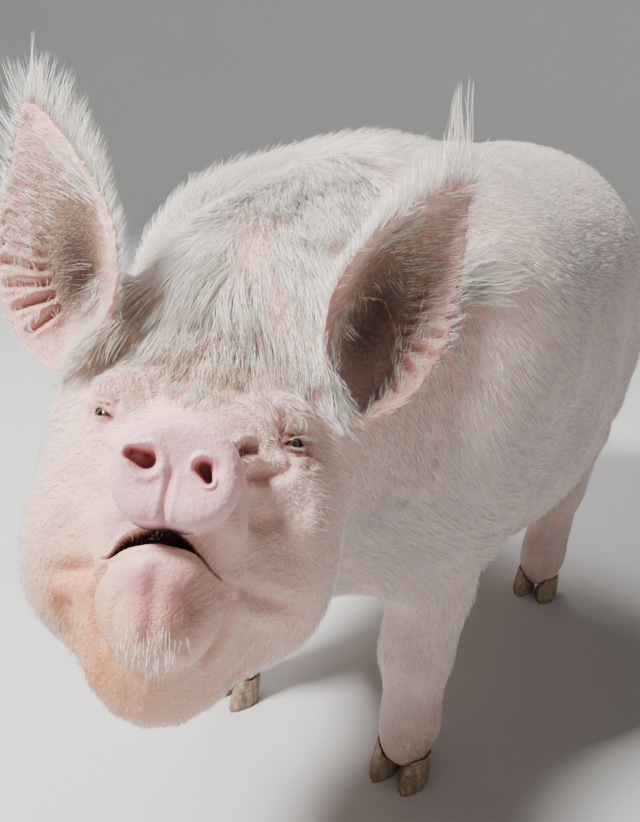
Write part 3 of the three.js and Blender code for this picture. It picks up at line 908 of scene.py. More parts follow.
def near_teats(world):
    """True on the strips of the belly that carry the teats."""
    strip = np.abs(np.abs(world[:, 0]) - TEAT_OUT) < 0.034
    along = np.abs(world[:, 1] - TEAT_MIDDLE) < 0.37
    return strip & along & (world[:, 2] < 0.36)


def sculpt_skin(skin):
    """Inset for the coat, finer mesh where it is needed, then every fold of the skin."""
    sculptor = Sculptor(skin)
    inset_for_coat(sculptor)
    points = sculptor.points
    face = (points[:, 1] < 0.185) & (points[:, 1] + 0.6 * np.abs(points[:, 0]) < 0.225)
    face &= points[:, 2] > -0.175
    sculptor.divide(face | near_teats(HEAD.world(points)))
    on_ear = ear_share(sculptor.points)[0] > 0.5
    sculptor.divide(on_ear & (sculptor.points[:, 2] > 0.09))
    points = sculptor.points
    eyes = np.linalg.norm(mirror_left(points) - eye_axes(1)[0], axis=1) < 0.030
    nose = points[:, 1] < 0.020
    mouth = np.zeros(len(points), dtype=bool)
    for place in curve_through(MOUTH_LINE, steps=3):
        mouth |= np.linalg.norm(points - place, axis=1) < 0.013
    sculptor.divide(eyes | nose | mouth)
    sculptor.commit(1 - smooth_step(sculptor.points[:, 1], 0.20, 0.25), 6)
    sculptor.start_marks()
    for shape in (shape_body, shape_ears, shape_face, shape_chin):
        shape(sculptor)
        sculptor.commit()
    for side, strength in ((1, 1.15), (-1, 0.9)):
        fold_round_eye(sculptor, side, strength)
        sculptor.commit()
        shape_lids(sculptor, side)
        sculptor.commit()
    shape_nose(sculptor)
    sculptor.commit()
    shape_mouth(sculptor)
    return sculptor


FACE_PATCHES = (
    ("flush", 0.40, (0, 0.06, 0.02), (0.075, 0.07, 0.06)),
    ("flush", 0.60, (-0.002, 0.035, -0.105), (0.050, 0.05, 0.045)),
    # Round the left eye: some dirt, and painted shade
    ("dirt_and_shade", 0.34, (0.092, 0.142, 0.054), (0.036, 0.034, 0.028)),
    ("dark_and_shade", 0.16, (0.086, 0.140, 0.060), (0.030, 0.034, 0.024)),
    # The chin's left half: dirt and blood, darkened further as painted shade
    ("dirt_and_shade", 0.58, (0.024, 0.034, -0.112), (0.032, 0.04, 0.042)),
    ("flush", 0.52, (0.016, 0.032, -0.110), (0.030, 0.04, 0.045)),
    ("stain_and_shade", 0.55, (-0.01, 0.10, -0.205), (0.10, 0.08, 0.05)),
    ("stain_and_shade", 0.28, (-0.100, 0.115, -0.060), (0.05, 0.07, 0.08)),
)


def colour_ears(sculptor):
    """Blood inside the ears, painted shade in their hollows and over their inner faces, and their
    front rims kept paler as a painted lit rim.
    """
    LIT_RIM_SHARE = 0.85
    points = sculptor.points
    mirrored = mirror_left(points)
    share, side = ear_share(points)
    facing = np.sum(sculptor.normals * ear_opening(side), axis=1)
    inner = share * smooth_step(facing, -0.10, 0.35)
    facing_out = smooth_step(facing, -0.35, 0.2)
    hollow = blob(mirrored, (0.176, 0.228, 0.236), (0.042, 0.075, 0.070)) * facing_out
    deeper = blob(mirrored, (0.158, 0.232, 0.192), (0.040, 0.070, 0.046)) * facing_out
    shaded = blob(mirrored, (0.200, 0.205, 0.275), (0.060, 0.07, 0.085)) * inner
    upper = smooth_step(points[:, 2], 0.18, 0.30)
    sculptor.mark("flush", 0.46 * inner)
    # Painted shade in the hollows and over the upper inner face, kept in the dark and dirt marks
    sculptor.mark("dark_and_shade", 0.82 * hollow + 0.45 * deeper + 0.16 * shaded)
    sculptor.mark("dirt_and_shade", 0.90 * hollow + 0.5 * deeper + inner * (0.12 + 0.16 * upper) + 0.62 * shaded)
    # The front rim is spared these marks, as a painted lit rim
    front = near_line(mirrored, FRONT_RIM, 0.009, 0.020)
    for name in ("dirt_and_shade", "dark_and_shade", "flush"):
        sculptor.marks[name] *= 1 - LIT_RIM_SHARE * inner * front


def colour_face(sculptor):
    """The patches of blood, mud and stain on the face, with painted shade round the left eye, on the
    chin and in the jowl's stain.
    """
    points = sculptor.points
    for name, strength, centre, radii in FACE_PATCHES:
        sculptor.mark(name, strength * blob(points, centre, radii))
    forehead = blob(points, (0.010, 0.150, 0.115), (0.085, 0.060, 0.050))
    sculptor.mark("dirt_and_shade", forehead * (0.22 + 0.20 * wavy(points, 60.0, seed=10)))
    # The jowl's orange stain; its darker colour is painted shade
    jowl = blob(points, (-0.080, 0.105, -0.150), (0.070, 0.085, 0.080))
    sculptor.mark("stain_and_shade", 1.7 * jowl * (0.85 + 0.3 * wavy(points, 50.0, seed=12)))


def colour_body(sculptor, on_head):
    """Grey mottling on the body, and mud on the back, feet and belly."""
    world = HEAD.world(sculptor.points)
    behind_head = 1 - on_head
    patches = smooth_step(wavy(world, 16.0, seed=7) + 0.5 * wavy(world, 45.0, seed=8), 0.0, 0.9)
    muddy = 0.5 + 0.5 * wavy(world, 55.0, seed=11)
    back = behind_head * smooth_step(world[:, 2], 0.35, 0.55)
    feet = 1 - smooth_step(world[:, 2], 0.05, 0.22)
    under = smooth_step(-HEAD.turn(sculptor.normals)[:, 2], 0.4, 0.9) * behind_head
    sculptor.mark("grey", behind_head * 0.56 + back * (0.22 + 0.33 * patches))
    sculptor.mark("dirt_and_shade", 0.16 * back * patches + 0.75 * feet * muddy + 0.30 * under * muddy)


def colour_marks(sculptor):
    """Where blood, mud, stain, painted shade and the bare nose show, as marks for hide and hair."""
    points = sculptor.points
    on_head = 1 - smooth_step(points[:, 1], 0.24, 0.34)
    disc = 1 - smooth_step(points[:, 1], 0.020, 0.034)
    sculptor.mark("bare", disc)
    sculptor.mark("flush", 0.30 * disc + 0.16 * on_head * (0.5 + 0.5 * wavy(points, 45.0, seed=9)))
    colour_ears(sculptor)
    colour_face(sculptor)
    colour_body(sculptor, on_head)
    for name, values in sculptor.marks.items():
        write_values(sculptor.skin.data, name, values)


def make_skin():
    """The finished skin with its marks."""
    skin = make_base_skin()
    colour_marks(sculpt_skin(skin))
    MOST = 196000
    ratio = MOST / len(read_triangles(skin.data))
    apply_modifier(skin, "DECIMATE", ratio=min(1.0, ratio))
    return skin


# ---------------------------------------------------------------- eyes


def make_eye(hand):
    """A globe with a clear bulge in front of the iris, and marks for its rings of colour."""
    side = SIDES[hand]
    centre, _, _, outward = eye_axes(side)
    deselect_all()
    bpy.ops.mesh.primitive_uv_sphere_add(segments=48, ring_count=32, radius=EYE_RADIUS)
    eye = bpy.context.active_object
    eye.name = eye.data.name = f"eyeball_{hand}"
    points = read_points(eye.data)
    from_pole = np.arctan2(np.hypot(points[:, 0], points[:, 1]), points[:, 2])
    CORNEA, BULGE, SUNK = 0.62, 0.0007, 0.0001
    bulge = BULGE * np.clip(1 - (from_pole / CORNEA) ** 2, 0, 1)
    points = unit(points) * (EYE_RADIUS - SUNK + bulge)[:, None]
    gaze = Vector(HEAD.turn(unit(outward + np.array((0, -0.25, -0.1)))))
    turn = np.array(gaze.to_track_quat("Z", "Y").to_matrix())
    write_points(eye.data, points @ turn.T + HEAD.world(centre))
    write_values(eye.data, "from_pole", from_pole / math.pi)
    shade_smooth(eye)
    return eye


# ---------------------------------------------------------------- hooves


def make_hooves(end, hand):
    """The two claws and two dewclaws of a foot, rounded and ringed by growth."""
    sizes = bpy.context.scene.pig_parts
    nodes = [f"{kind}_{end}_{hand}_{place}"
             for kind in ("claw", "dewclaw") for place in ("inner", "outer")]
    hooves = copy_nodes(nodes, f"hooves_{end}_{hand}")
    remesh(hooves, sizes.hoof_voxel)
    mesh = hooves.data
    points = read_points(mesh)
    sole = points[:, 2].min()
    on_sole = 1 - smooth_step(points[:, 2], sole + 0.001, sole + 0.005)
    points = even_out(mesh, points, 1 - 0.9 * on_sole, 9)
    write_points(mesh, points)
    normals = read_normals(mesh)
    RING, FINE_RING, HEIGHT = 0.0062, 0.0029, 0.09
    height = points[:, 2] + 0.0015 * wavy(points, 60.0, seed=21)
    turns = height * 2 * math.pi
    rings = np.sin(turns / RING) + 0.4 * np.sin(turns / FINE_RING)
    upright = 1 - np.abs(normals[:, 2])
    points += (sizes.ring_depth * rings * upright * (1 - on_sole))[:, None] * normals
    points[:, 2] = np.maximum(points[:, 2], 0.0)
    write_points(mesh, points)
    write_values(mesh, "height", (points[:, 2] - sole) / HEIGHT)
    shade_smooth(hooves)
    return hooves, nodes


# ---------------------------------------------------------------- coat: roots and lie

UV_PATCH, MAP_VOXEL = 0.003, 0.016
SHARED_MARKS = ("grey", "stain_and_shade", "dirt_and_shade")


class Hide:
    """The finished skin as arrays, for hairs to root in and lie along."""

    def __init__(self, skin):
        mesh = skin.data
        self.world = read_points(mesh)
        self.normals = read_normals(mesh)
        self.calm_normals = even_out(mesh, self.normals, np.ones(len(self.normals)), 10, hold=0)
        self.local = HEAD.local(self.world)
        self.triangles = read_triangles(mesh)
        corners = self.world[self.triangles]
        cross = np.cross(corners[:, 1] - corners[:, 0], corners[:, 2] - corners[:, 0])
        self.area = np.linalg.norm(cross, axis=1) / 2
        self.tree = BVHTree.FromPolygons(self.world.tolist(), self.triangles.tolist())
        self.ear, self.side = ear_share(self.local)
        hollow = blob(mirror_left(self.local), (0.160, 0.220, 0.220), (0.050, 0.075, 0.085))
        self.clear = 1 - smooth_step(hollow, 0.10, 0.40)
        self.marks = {mark: read(mesh.attributes[mark].data, "value", 1) for mark in SHARED_MARKS}
        # Inside the ears the dirt mark is painted shade, so the ear hairs do not carry it
        self.marks["dirt_and_shade"] = self.marks["dirt_and_shade"] * (1 - self.ear)
        self.unwrap(skin)

    def unwrap(self, skin):
        """Unwraps a coarser copy of the skin, which tells each hair its place on the map."""
        select_only(skin)
        bpy.ops.object.duplicate()
        coarse = bpy.context.active_object
        remesh(coarse, MAP_VOXEL)
        bpy.ops.object.mode_set(mode="EDIT")
        bpy.ops.mesh.select_all(action="SELECT")
        bpy.ops.mesh.quads_convert_to_tris()
        bpy.ops.uv.smart_project(angle_limit=math.radians(66), island_margin=0.004)
        bpy.ops.object.mode_set(mode="OBJECT")
        mesh = coarse.data
        points = read_points(mesh)
        corners = read(mesh.loops, "vertex_index", 1, np.int32).reshape(-1, 3)
        self.map_places = read(mesh.uv_layers.active.data, "uv", 2).reshape(-1, 3, 2)
        self.map_corners = points[corners]
        self.map_tree = BVHTree.FromPolygons(points.tolist(), corners.tolist())
        bpy.data.objects.remove(coarse)

    def map_place(self, places):
        """The place on the unwrap that belongs to each place on the skin."""
        result = np.empty((len(places), 2))
        for number, place in enumerate(places):
            found, _, face, _ = self.map_tree.find_nearest(Vector(place))
            corners = [Vector(corner) for corner in self.map_corners[face]]
            flat = [Vector((*corner, 0)) for corner in self.map_places[face]]
            result[number] = barycentric_transform(found, *corners, *flat)[:2]
        return np.clip(result, UV_PATCH, 1 - UV_PATCH)

    def marks_at(self, places):
        """The skin's own marks at each root, which the coat carries on."""
        faces = [self.tree.find_nearest(Vector(place))[2] for place in places]
        corners = self.triangles[faces]
        return {mark: values[corners].mean(axis=1) for mark, values in self.marks.items()}

    def scatter(self, density, number, rng):
        """Random places on the skin with their normals, closer together where density is high."""
        weight = self.area * (density * self.clear)[self.triangles].mean(axis=1)
        chosen = rng.choice(len(weight), number, p=weight / weight.sum())
        shares = rng.random((number, 2))
        over = shares.sum(axis=1) > 1
        shares[over] = 1 - shares[over]
        shares = np.column_stack([1 - shares.sum(axis=1), shares])[:, :, None]
        corners = self.triangles[chosen]
        places = (self.world[corners] * shares).sum(axis=1)
        return places, unit((self.normals[corners] * shares).sum(axis=1))


def on_skin(directions, normals):
    """Directions turned to lie along the skin."""
    return unit(directions - normals * np.sum(directions * normals, axis=1)[:, None])


def spread_out(local):
    """How far each point lies to its side on the forehead, from -1 to 1."""
    HALF_FOREHEAD = 0.13
    return np.clip(local[:, 0] / HALF_FOREHEAD, -1, 1)


def towards(first, second, share):
    """From the first directions to the second, as far as share says."""
    return first + (second - first) * share[:, None]


def lie_of_coat(world, normals):
    """The direction in which the coat lies: back along the body, down the legs and forehead."""
    local = HEAD.local(world)
    side = np.sign(local[:, 0])
    ones = np.ones(len(world))
    flank = 1 - np.abs(normals[:, 2])
    body = np.column_stack([0 * ones, ones, -0.42 * flank])
    on_leg = (1 - smooth_step(world[:, 2], 0.27, 0.46)) * (normals[:, 2] > -0.7)
    flow = towards(body, np.array((0, 0.22, -1.0)), on_leg)
    spread = spread_out(local)
    cheek = HEAD.turn(sideways((0.25, 0.85, -0.42), side))
    chin = HEAD.turn(sideways((0.2, 0.50, -0.9), side))
    muzzle = HEAD.turn(sideways((0.4, 1, 0.15), spread))
    forehead = HEAD.turn(sideways((0.55, -0.30, -1), spread))
    head = towards(cheek, chin, smooth_step(-local[:, 2], 0.07, 0.12))
    head = towards(head, muzzle, 1 - smooth_step(local[:, 1], 0.07, 0.12))
    above = smooth_step(local[:, 2], 0.075, 0.12)
    above *= 1 - smooth_step(np.abs(local[:, 0]), 0.13, 0.17)
    head = towards(head, forehead, above)
    behind = smooth_step(local[:, 1] - 0.10 * np.clip(local[:, 2] - 0.30, 0, 1), 0.27, 0.38)
    flow = towards(head, flow, behind)
    share, ear_side = ear_share(local)
    upward = unit(sideways(np.array(EAR_TIP) - EAR_ROOT, ear_side))
    along_ear = HEAD.turn(upward + 0.55 * sideways((1, 0.1, 0), ear_side))
    return on_skin(towards(flow, along_ear, share), normals)


# ---------------------------------------------------------------- coat: growing hairs


class Growth:
    """How one kind of hair grows: its size, its bend and how it gathers."""

    def __init__(self, length, width, rings=2, lift=0.25, settle=0.8, droop=0.0, sway=0.15,
                 wave=0.0, clump=0.0, crowd=10, clearance=None):
        self.length, self.width, self.rings = length, width, rings
        self.lift, self.settle, self.droop = lift, settle, droop
        self.sway, self.wave = sway, wave
        self.clump, self.crowd, self.clearance = clump, crowd, clearance


def centre_lines(hide, growth, places, normals, lie, lengths, rng):
    """The middle of each hair at each of its rings and at its tip."""
    ROOT_DEPTH = 0.0008
    across = np.cross(lie, normals)
    lean = rng.normal(size=(len(places), 1)) * growth.sway
    phase = rng.uniform(0, 2 * math.pi, (len(places), 1))
    lines = [places - normals * ROOT_DEPTH]
    for step in range(growth.rings):
        share = step / growth.rings
        rise = growth.lift * (1 - growth.settle * share)
        bend = lean * (0.35 + share) + growth.wave * np.sin(phase + 5.5 * share)
        heading = unit(lie + normals * rise + across * bend - np.array((0, 0, growth.droop * share)))
        lines.append(lines[-1] + heading * (lengths / growth.rings)[:, None])
    return gather(growth, np.array(lines), hide)


def gather(growth, lines, hide):
    """Draws hairs together into locks and keeps long ones outside the skin."""
    steps = len(lines)
    if growth.clump:
        leaders = np.arange(0, lines.shape[1], growth.crowd)
        nearest = leaders[nearest_of(lines[0, leaders], lines[0])]
        for step in range(1, steps):
            pull = growth.clump * (step / (steps - 1)) ** 1.3
            lines[step] += pull * (lines[step, nearest] - lines[step])
    if growth.clearance is not None:
        for step in range(1, steps):
            for number, place in enumerate(lines[step]):
                found, normal, _, _ = hide.tree.find_nearest(Vector(place))
                height = (Vector(place) - found).dot(normal)
                least = growth.clearance * (0.4 + step / steps)
                if height < least:
                    lines[step, number] += np.array(normal) * (least - height)
    return lines


def hair_corners(lines, normals, widths):
    """Three corners round each ring of each hair, and its tip."""
    FLATTER, THINNER = 0.8, 0.75
    steps, number, _ = lines.shape
    corners = np.empty((number, 3 * (steps - 1) + 1, 3))
    for step in range(steps - 1):
        heading = unit(lines[step + 1] - lines[step])
        beside = unit(np.cross(heading, normals))
        above = np.cross(beside, heading)
        half = (widths / 2 * (1 - THINNER * (step / (steps - 1)) ** 1.4))[:, None]
        corners[:, 3 * step] = lines[step] + above * half * FLATTER
        corners[:, 3 * step + 1] = lines[step] + beside * half
        corners[:, 3 * step + 2] = lines[step] - beside * half
    corners[:, -1] = lines[-1]
    return corners


def hair_faces(steps):
    """The triangles of one closed hair."""
    faces = [(2, 1, 0)]
    for step in range(steps - 2):
        for corner in range(3):
            here, beside = 3 * step + corner, 3 * step + (corner + 1) % 3
            faces += [(here, beside, beside + 3), (here, beside + 3, here + 3)]
    last, tip = 3 * (steps - 2), 3 * (steps - 1)
    faces += [(last + corner, last + (corner + 1) % 3, tip) for corner in range(3)]
    return np.array(faces, dtype=np.int32)


def make_hairs(name, hide, growth, places, normals, lie, lengths, mud, rng):
    """One mesh of separate hairs, with marks for their colour and a patch each on the map."""
    lines = centre_lines(hide, growth, places, normals, lie, lengths, rng)
    widths = growth.width * rng.uniform(0.7, 1.3, len(places))
    corners = hair_corners(lines, normals, widths)
    number, each = corners.shape[:2]
    steps = len(lines)
    pattern = hair_faces(steps)
    faces = (np.arange(number)[:, None, None] * each + pattern[None]).reshape(-1).astype(np.int32)
    mesh = bpy.data.meshes.new(name)
    mesh.vertices.add(number * each)
    mesh.vertices.foreach_set("co", corners.astype(np.float32).ravel())
    mesh.loops.add(len(faces))
    mesh.loops.foreach_set("vertex_index", faces)
    mesh.polygons.add(len(faces) // 3)
    mesh.polygons.foreach_set("loop_start", np.arange(0, len(faces), 3, dtype=np.int32))
    mesh.polygons.foreach_set("use_smooth", np.ones(len(faces) // 3, dtype=bool))
    mesh.update(calc_edges=True)
    along = np.append(np.repeat(np.arange(steps - 1) / (steps - 1), 3), 1.0)
    round_ring = np.append(np.tile([0.0, 0.5, 1.0], steps - 1), 0.5)
    patch = (np.column_stack([round_ring, along]) - 0.5) * UV_PATCH
    map_places = hide.map_place(places)[:, None, :] + patch[None]
    layer = mesh.uv_layers.new(name="OFBake")
    layer.data.foreach_set("uv", map_places.reshape(-1, 2)[faces].astype(np.float32).ravel())
    write_values(mesh, "along", np.tile(along, number))
    write_values(mesh, "tone", np.repeat(rng.random(number), each))
    write_values(mesh, "mud", np.repeat(mud, each))
    for mark, values in hide.marks_at(places).items():
        write_values(mesh, mark, np.repeat(values, each))
    piece = bpy.data.objects.new(name, mesh)
    bpy.context.collection.objects.link(piece)
    return piece


def grow_coat(name, hide, growth, density, number, seed, lie=lie_of_coat, scale=None, mud=None):
    """Scatters hairs by density and grows them, split into pieces of at most about 190,000 triangles.
    """
    MOST = 190000
    rng = np.random.default_rng(seed)
    places, normals = hide.scatter(density, number, rng)
    directions = lie(places, normals)
    lengths = growth.length * rng.uniform(0.6, 1.25, number)
    if scale is not None:
        lengths *= scale(places, normals)
    triangles_each = 6 * (growth.rings - 1) + 4
    parts = math.ceil(number * triangles_each / MOST)
    order = np.argsort(places[:, 1], kind="stable")
    pieces = []
    for part, chosen in enumerate(np.array_split(order, parts)):
        chosen = rng.permutation(chosen)
        title = name if parts == 1 else f"{name}_{part + 1}"
        muddy = np.zeros(len(chosen)) if mud is None else mud(HEAD.local(places[chosen]))
        pieces.append(make_hairs(title, hide, growth, places[chosen], normals[chosen],
                                 directions[chosen], lengths[chosen], muddy, rng))
    return pieces


# ---------------------------------------------------------------- coat: its regions


def forehead_mud(local):
    """The muddy tips above and between the eyes."""
    low = 1 - smooth_step(local[:, 2], 0.14, 0.29)
    near_middle = 1 - 0.6 * smooth_step(np.abs(local[:, 0] - 0.01), 0.04, 0.10)
    patchy = 0.74 + 0.5 * wavy(local, 70.0, seed=32)
    return np.clip(0.05 + 1.3 * low * near_middle * patchy, 0, 1)


def one_way(heading, lift):
    """A lie for hairs that all point much the same way, lifted a little off the skin."""
    def lie(places, normals):
        """The same heading everywhere."""
        return unit(np.array(heading) + lift * normals)

    return lie


def grow_body_coat(hide):
    """Bristles that lie back along the trunk, neck and legs."""
    sizes = bpy.context.scene.pig_coat
    behind = smooth_step(hide.local[:, 1], 0.20, 0.34) * (1 - hide.ear)
    low = smooth_step(hide.world[:, 2], 0.04, 0.10)
    under = 1 - 0.55 * smooth_step(-hide.normals[:, 2], 0.3, 0.8)
    near = 1 + 0.9 * smooth_step(-hide.world[:, 1], 0.0, 0.35)
    off_tail = 1 - smooth_step(hide.world[:, 1], 0.735, 0.765)
    density = behind * low * under * near * (0.25 + 0.75 * off_tail)

    def shorter(places, normals):
        """Shorter on the legs and tail, longer along the mane."""
        leg = 0.45 + 0.55 * smooth_step(places[:, 2], 0.10, 0.42)
        on_top = smooth_step(normals[:, 2], 0.80, 0.98)
        mane = 1 + 0.55 * on_top * smooth_step(-places[:, 1], -0.25, 0.25)
        tail = 1 - 0.5 * smooth_step(places[:, 1], 0.72, 0.74)
        return leg * mane * tail

    growth = Growth(sizes.bristle, 0.00070, rings=2, lift=0.21, settle=0.9, sway=0.16, clump=0.35,
                    crowd=8)
    return grow_coat("coat_body", hide, growth, density, sizes.body_count, 101, scale=shorter)


def grow_face_coat(hide):
    """Short down and bristles over the cheeks, jowls and muzzle."""
    sizes = bpy.context.scene.pig_coat
    local = hide.local
    on_head = (1 - smooth_step(local[:, 1], 0.22, 0.34)) * (1 - hide.ear)
    off_disc = smooth_step(local[:, 1], 0.030, 0.075)
    eyes = np.ones(len(local))
    for side in SIDES.values():
        away = np.linalg.norm(local - eye_axes(side)[0], axis=1)
        eyes *= smooth_step(away, 0.015, 0.024)
    density = on_head * off_disc * eyes * (0.35 + 0.65 * smooth_step(local[:, 1], 0.07, 0.15))
    density *= 1 - 0.75 * blob(local, (0, 0.035, -0.08), (0.06, 0.04, 0.05))

    def longer_back(places, normals):
        """Longer towards the neck."""
        return 0.50 + 0.95 * smooth_step(HEAD.local(places)[:, 1], 0.08, 0.26)

    growth = Growth(0.0165, 0.00062, rings=2, lift=0.28, settle=0.7, sway=0.25, clump=0.3, crowd=6)
    return grow_coat("coat_face", hide, growth, density, sizes.face_count, 102, scale=longer_back)


def grow_forelock(hide):
    """Long shaggy hair from the poll down over the forehead."""
    sizes = bpy.context.scene.pig_coat
    local = hide.local
    front = 1 - smooth_step(local[:, 1], 0.29, 0.36)
    low = 0.066 + 0.032 * np.clip(np.abs(local[:, 0]) / 0.10, 0, 1) ** 2
    thin = 0.62 + 0.38 * smooth_step(local[:, 2], 0.10, 0.16)
    thin *= smooth_step(wavy(local, 60.0, seed=34), -0.7, 0.35)
    density = front * smooth_step(local[:, 2] - low, 0.0, 0.030) * thin * (1 - hide.ear)
    density *= 1 - smooth_step(np.abs(local[:, 0]), 0.125, 0.165)

    def shorter_low(places, normals):
        """Ragged, and shorter low on the forehead."""
        local = HEAD.local(places)
        ragged = 1 + 0.42 * wavy(local, 150.0, seed=33)
        return ragged * (0.50 + 0.50 * smooth_step(local[:, 2], 0.10, 0.22))

    def lie(places, normals):
        """As the coat lies above, and low down over the bridge of the nose towards the disc."""
        local = HEAD.local(places)
        down = on_skin(HEAD.turn(sideways((0.55, -0.5, -1), spread_out(local))), normals)
        low = 1 - smooth_step(local[:, 2], 0.13, 0.18)
        return on_skin(towards(lie_of_coat(places, normals), down, low), normals)

    growth = Growth(sizes.forelock, 0.00085, rings=5, lift=0.24, settle=0.9, droop=0.08, sway=0.24,
                    wave=0.14, clump=0.66, crowd=16, clearance=0.0026)
    return grow_coat("coat_forelock", hide, growth, density, sizes.forelock_count, 103, lie=lie,
                     scale=shorter_low, mud=forehead_mud)


def grow_poll(hide):
    """Fine upright hair on the crown between the ears, and the start of the mane."""
    HAIRS = 2600
    density = blob(hide.local, (0, 0.335, 0.36), (0.17, 0.10, 0.09)) * (1 - hide.ear)

    def lie(places, normals):
        """As the coat lies, raised a little."""
        return unit(lie_of_coat(places, normals) + 0.30 * np.array((0.0, 0.25, 1.0)))

    growth = Growth(0.046, 0.0007, rings=4, lift=0.25, settle=0.8, sway=0.35, wave=0.15,
                    clump=0.4, crowd=8, clearance=0.002)
    return grow_coat("coat_poll", hide, growth, density, HAIRS, 104, lie=lie)


def ear_faces(hide, side):
    """How much each point belongs to one ear's rim, its inner face and its outer face."""
    share = hide.ear * (hide.side == side)
    up = ear_up(side)
    opens = on_side(EAR_OPENS, side)
    opens = unit(opens - up * (opens @ up))
    facing = HEAD.turn_back(hide.normals) @ opens
    calm_facing = HEAD.turn_back(unit(hide.calm_normals)) @ opens
    rim = share * (1 - smooth_step(np.abs(facing), 0.30, 0.62))
    inside = share * smooth_step(calm_facing, 0.25, 0.6)
    return rim, inside, share * smooth_step(-calm_facing, 0.1, 0.5)


EAR_SEEDS = {"left": 110, "right": 120}


def grow_ear_coat(hide, hand):
    """Fringe along the rim, streaks inside, down outside and long wisps at the tip."""
    side = SIDES[hand]
    rim, inside, outside = ear_faces(hide, side)
    high = hide.local[:, 2]
    front = near_line(mirror_left(hide.local), FRONT_RIM, 0.012, 0.030)
    rim = rim * (0.45 + smooth_step(high, 0.10, 0.30)) * (1 + 1.6 * front)
    inside = inside * (0.25 + 0.75 * smooth_step(high, 0.17, 0.26))

    def fringe(places, normals):
        """Out from the rim and up."""
        return unit(normals * 0.65 + HEAD.turn(ear_up(side)) * 1.0)

    def longer_high(places, normals):
        """Longer towards the tip."""
        return 0.8 + 1.5 * smooth_step(HEAD.local(places)[:, 2], 0.26, 0.38)

    def outward(places, normals):
        """Out over the hollow."""
        return on_skin(HEAD.turn(on_side((0.8, 0.1, 0.35), side)), normals)

    fine = {"lift": 0.22, "sway": 0.2}
    kinds = (
        ("rim", Growth(0.026, 0.0007, rings=3, lift=0.2, sway=0.28, wave=0.1, clump=0.35, crowd=6),
         rim, 0.46, fringe, longer_high),
        ("inside", Growth(0.022, 0.0005, clump=0.4, crowd=7, **fine), inside, 0.22, outward, None),
        ("outside", Growth(0.021, 0.0006, clump=0.3, crowd=6, **fine), outside, 0.36, lie_of_coat,
         None),
    )
    total = bpy.context.scene.pig_coat.ear_count
    pieces = []
    seed = EAR_SEEDS[hand]
    for name, growth, density, share, lie, scale in kinds:
        pieces += grow_coat(f"coat_{hand}_ear_{name}", hide, growth, density, int(share * total),
                            seed, lie=lie, scale=scale)
        seed += 1
    return pieces + grow_wisps(hide, hand, seed)


WISPS = {"left": (0.122, (-0.237, -0.326, 0.916)), "right": (0.080, (-0.086, -0.169, 0.982))}


def grow_wisps(hide, hand, seed):
    """The long hairs that stand up together from the tip of an ear."""
    HAIRS, CLOSE = 44, 0.030
    reach, lean = WISPS[hand]
    side = SIDES[hand]
    tip = on_side(EAR_TIP, side)
    near_tip = np.exp(-(np.linalg.norm(hide.local - tip, axis=1) / CLOSE) ** 2)
    goal = HEAD.world(tip) + HEAD.turn(unit(lean)) * reach

    def upright(places, normals):
        """From each root to where the lock ends."""
        return unit(goal - places)

    growth = Growth(0.9 * reach, 0.0009, rings=6, lift=0.02, sway=0.14, wave=0.10, clump=0.70,
                    crowd=7)
    return grow_coat(f"coat_{hand}_ear_wisps", hide, growth, hide.ear * (hide.side == side) * near_tip,
                     HAIRS, seed, lie=upright)


def grow_tufts(hide):
    """White tufts on the chin and round the ears, and the muddy brows."""
    FIRST_SEED = 130
    stiff = Growth(0.017, 0.0006, rings=3, lift=0.12, sway=0.25, clump=0.3, crowd=5)
    soft = Growth(0.036, 0.0007, rings=4, lift=0.25, sway=0.22, wave=0.15, clump=0.6, crowd=10)
    wild = Growth(0.075, 0.0007, rings=6, lift=0.2, sway=0.30, wave=0.35, clump=0.35, crowd=12)
    brow = (0.036, 0.030, 0.018)
    tufts = (
        ("chin", (0.004, 0.040, -0.150), (0.036, 0.034, 0.030), 120, stiff, (0.1, -0.25, -1.0)),
        ("under_right_ear", (-0.152, 0.168, 0.150), (0.026, 0.035, 0.040), 420, soft,
         (-0.35, -0.35, -1.0)),
        ("under_left_ear", (0.150, 0.170, 0.120), (0.030, 0.035, 0.040), 300, soft,
         (0.55, -0.2, -0.9)),
        ("behind_left_ear", (0.270, 0.250, 0.300), (0.026, 0.04, 0.040), 200, wild,
         (0.95, 0.25, 0.35)),
        ("brow_left", (0.075, 0.142, 0.098), brow, 150, soft, (0.35, -0.75, -0.75)),
        ("brow_right", (-0.075, 0.142, 0.098), brow, 120, soft, (-0.35, -0.75, -0.75)),
    )
    pieces = []
    for seed, (name, centre, radii, number, growth, direction) in enumerate(tufts, FIRST_SEED):
        density = blob(hide.local, centre, radii)
        density[density < 0.12] = 0
        mud = forehead_mud if name.startswith("brow") else None
        pieces += grow_coat(f"coat_{name}", hide, growth, density, number, seed,
                            lie=one_way(HEAD.turn(unit(direction)), 0.25), mud=mud)
    return pieces


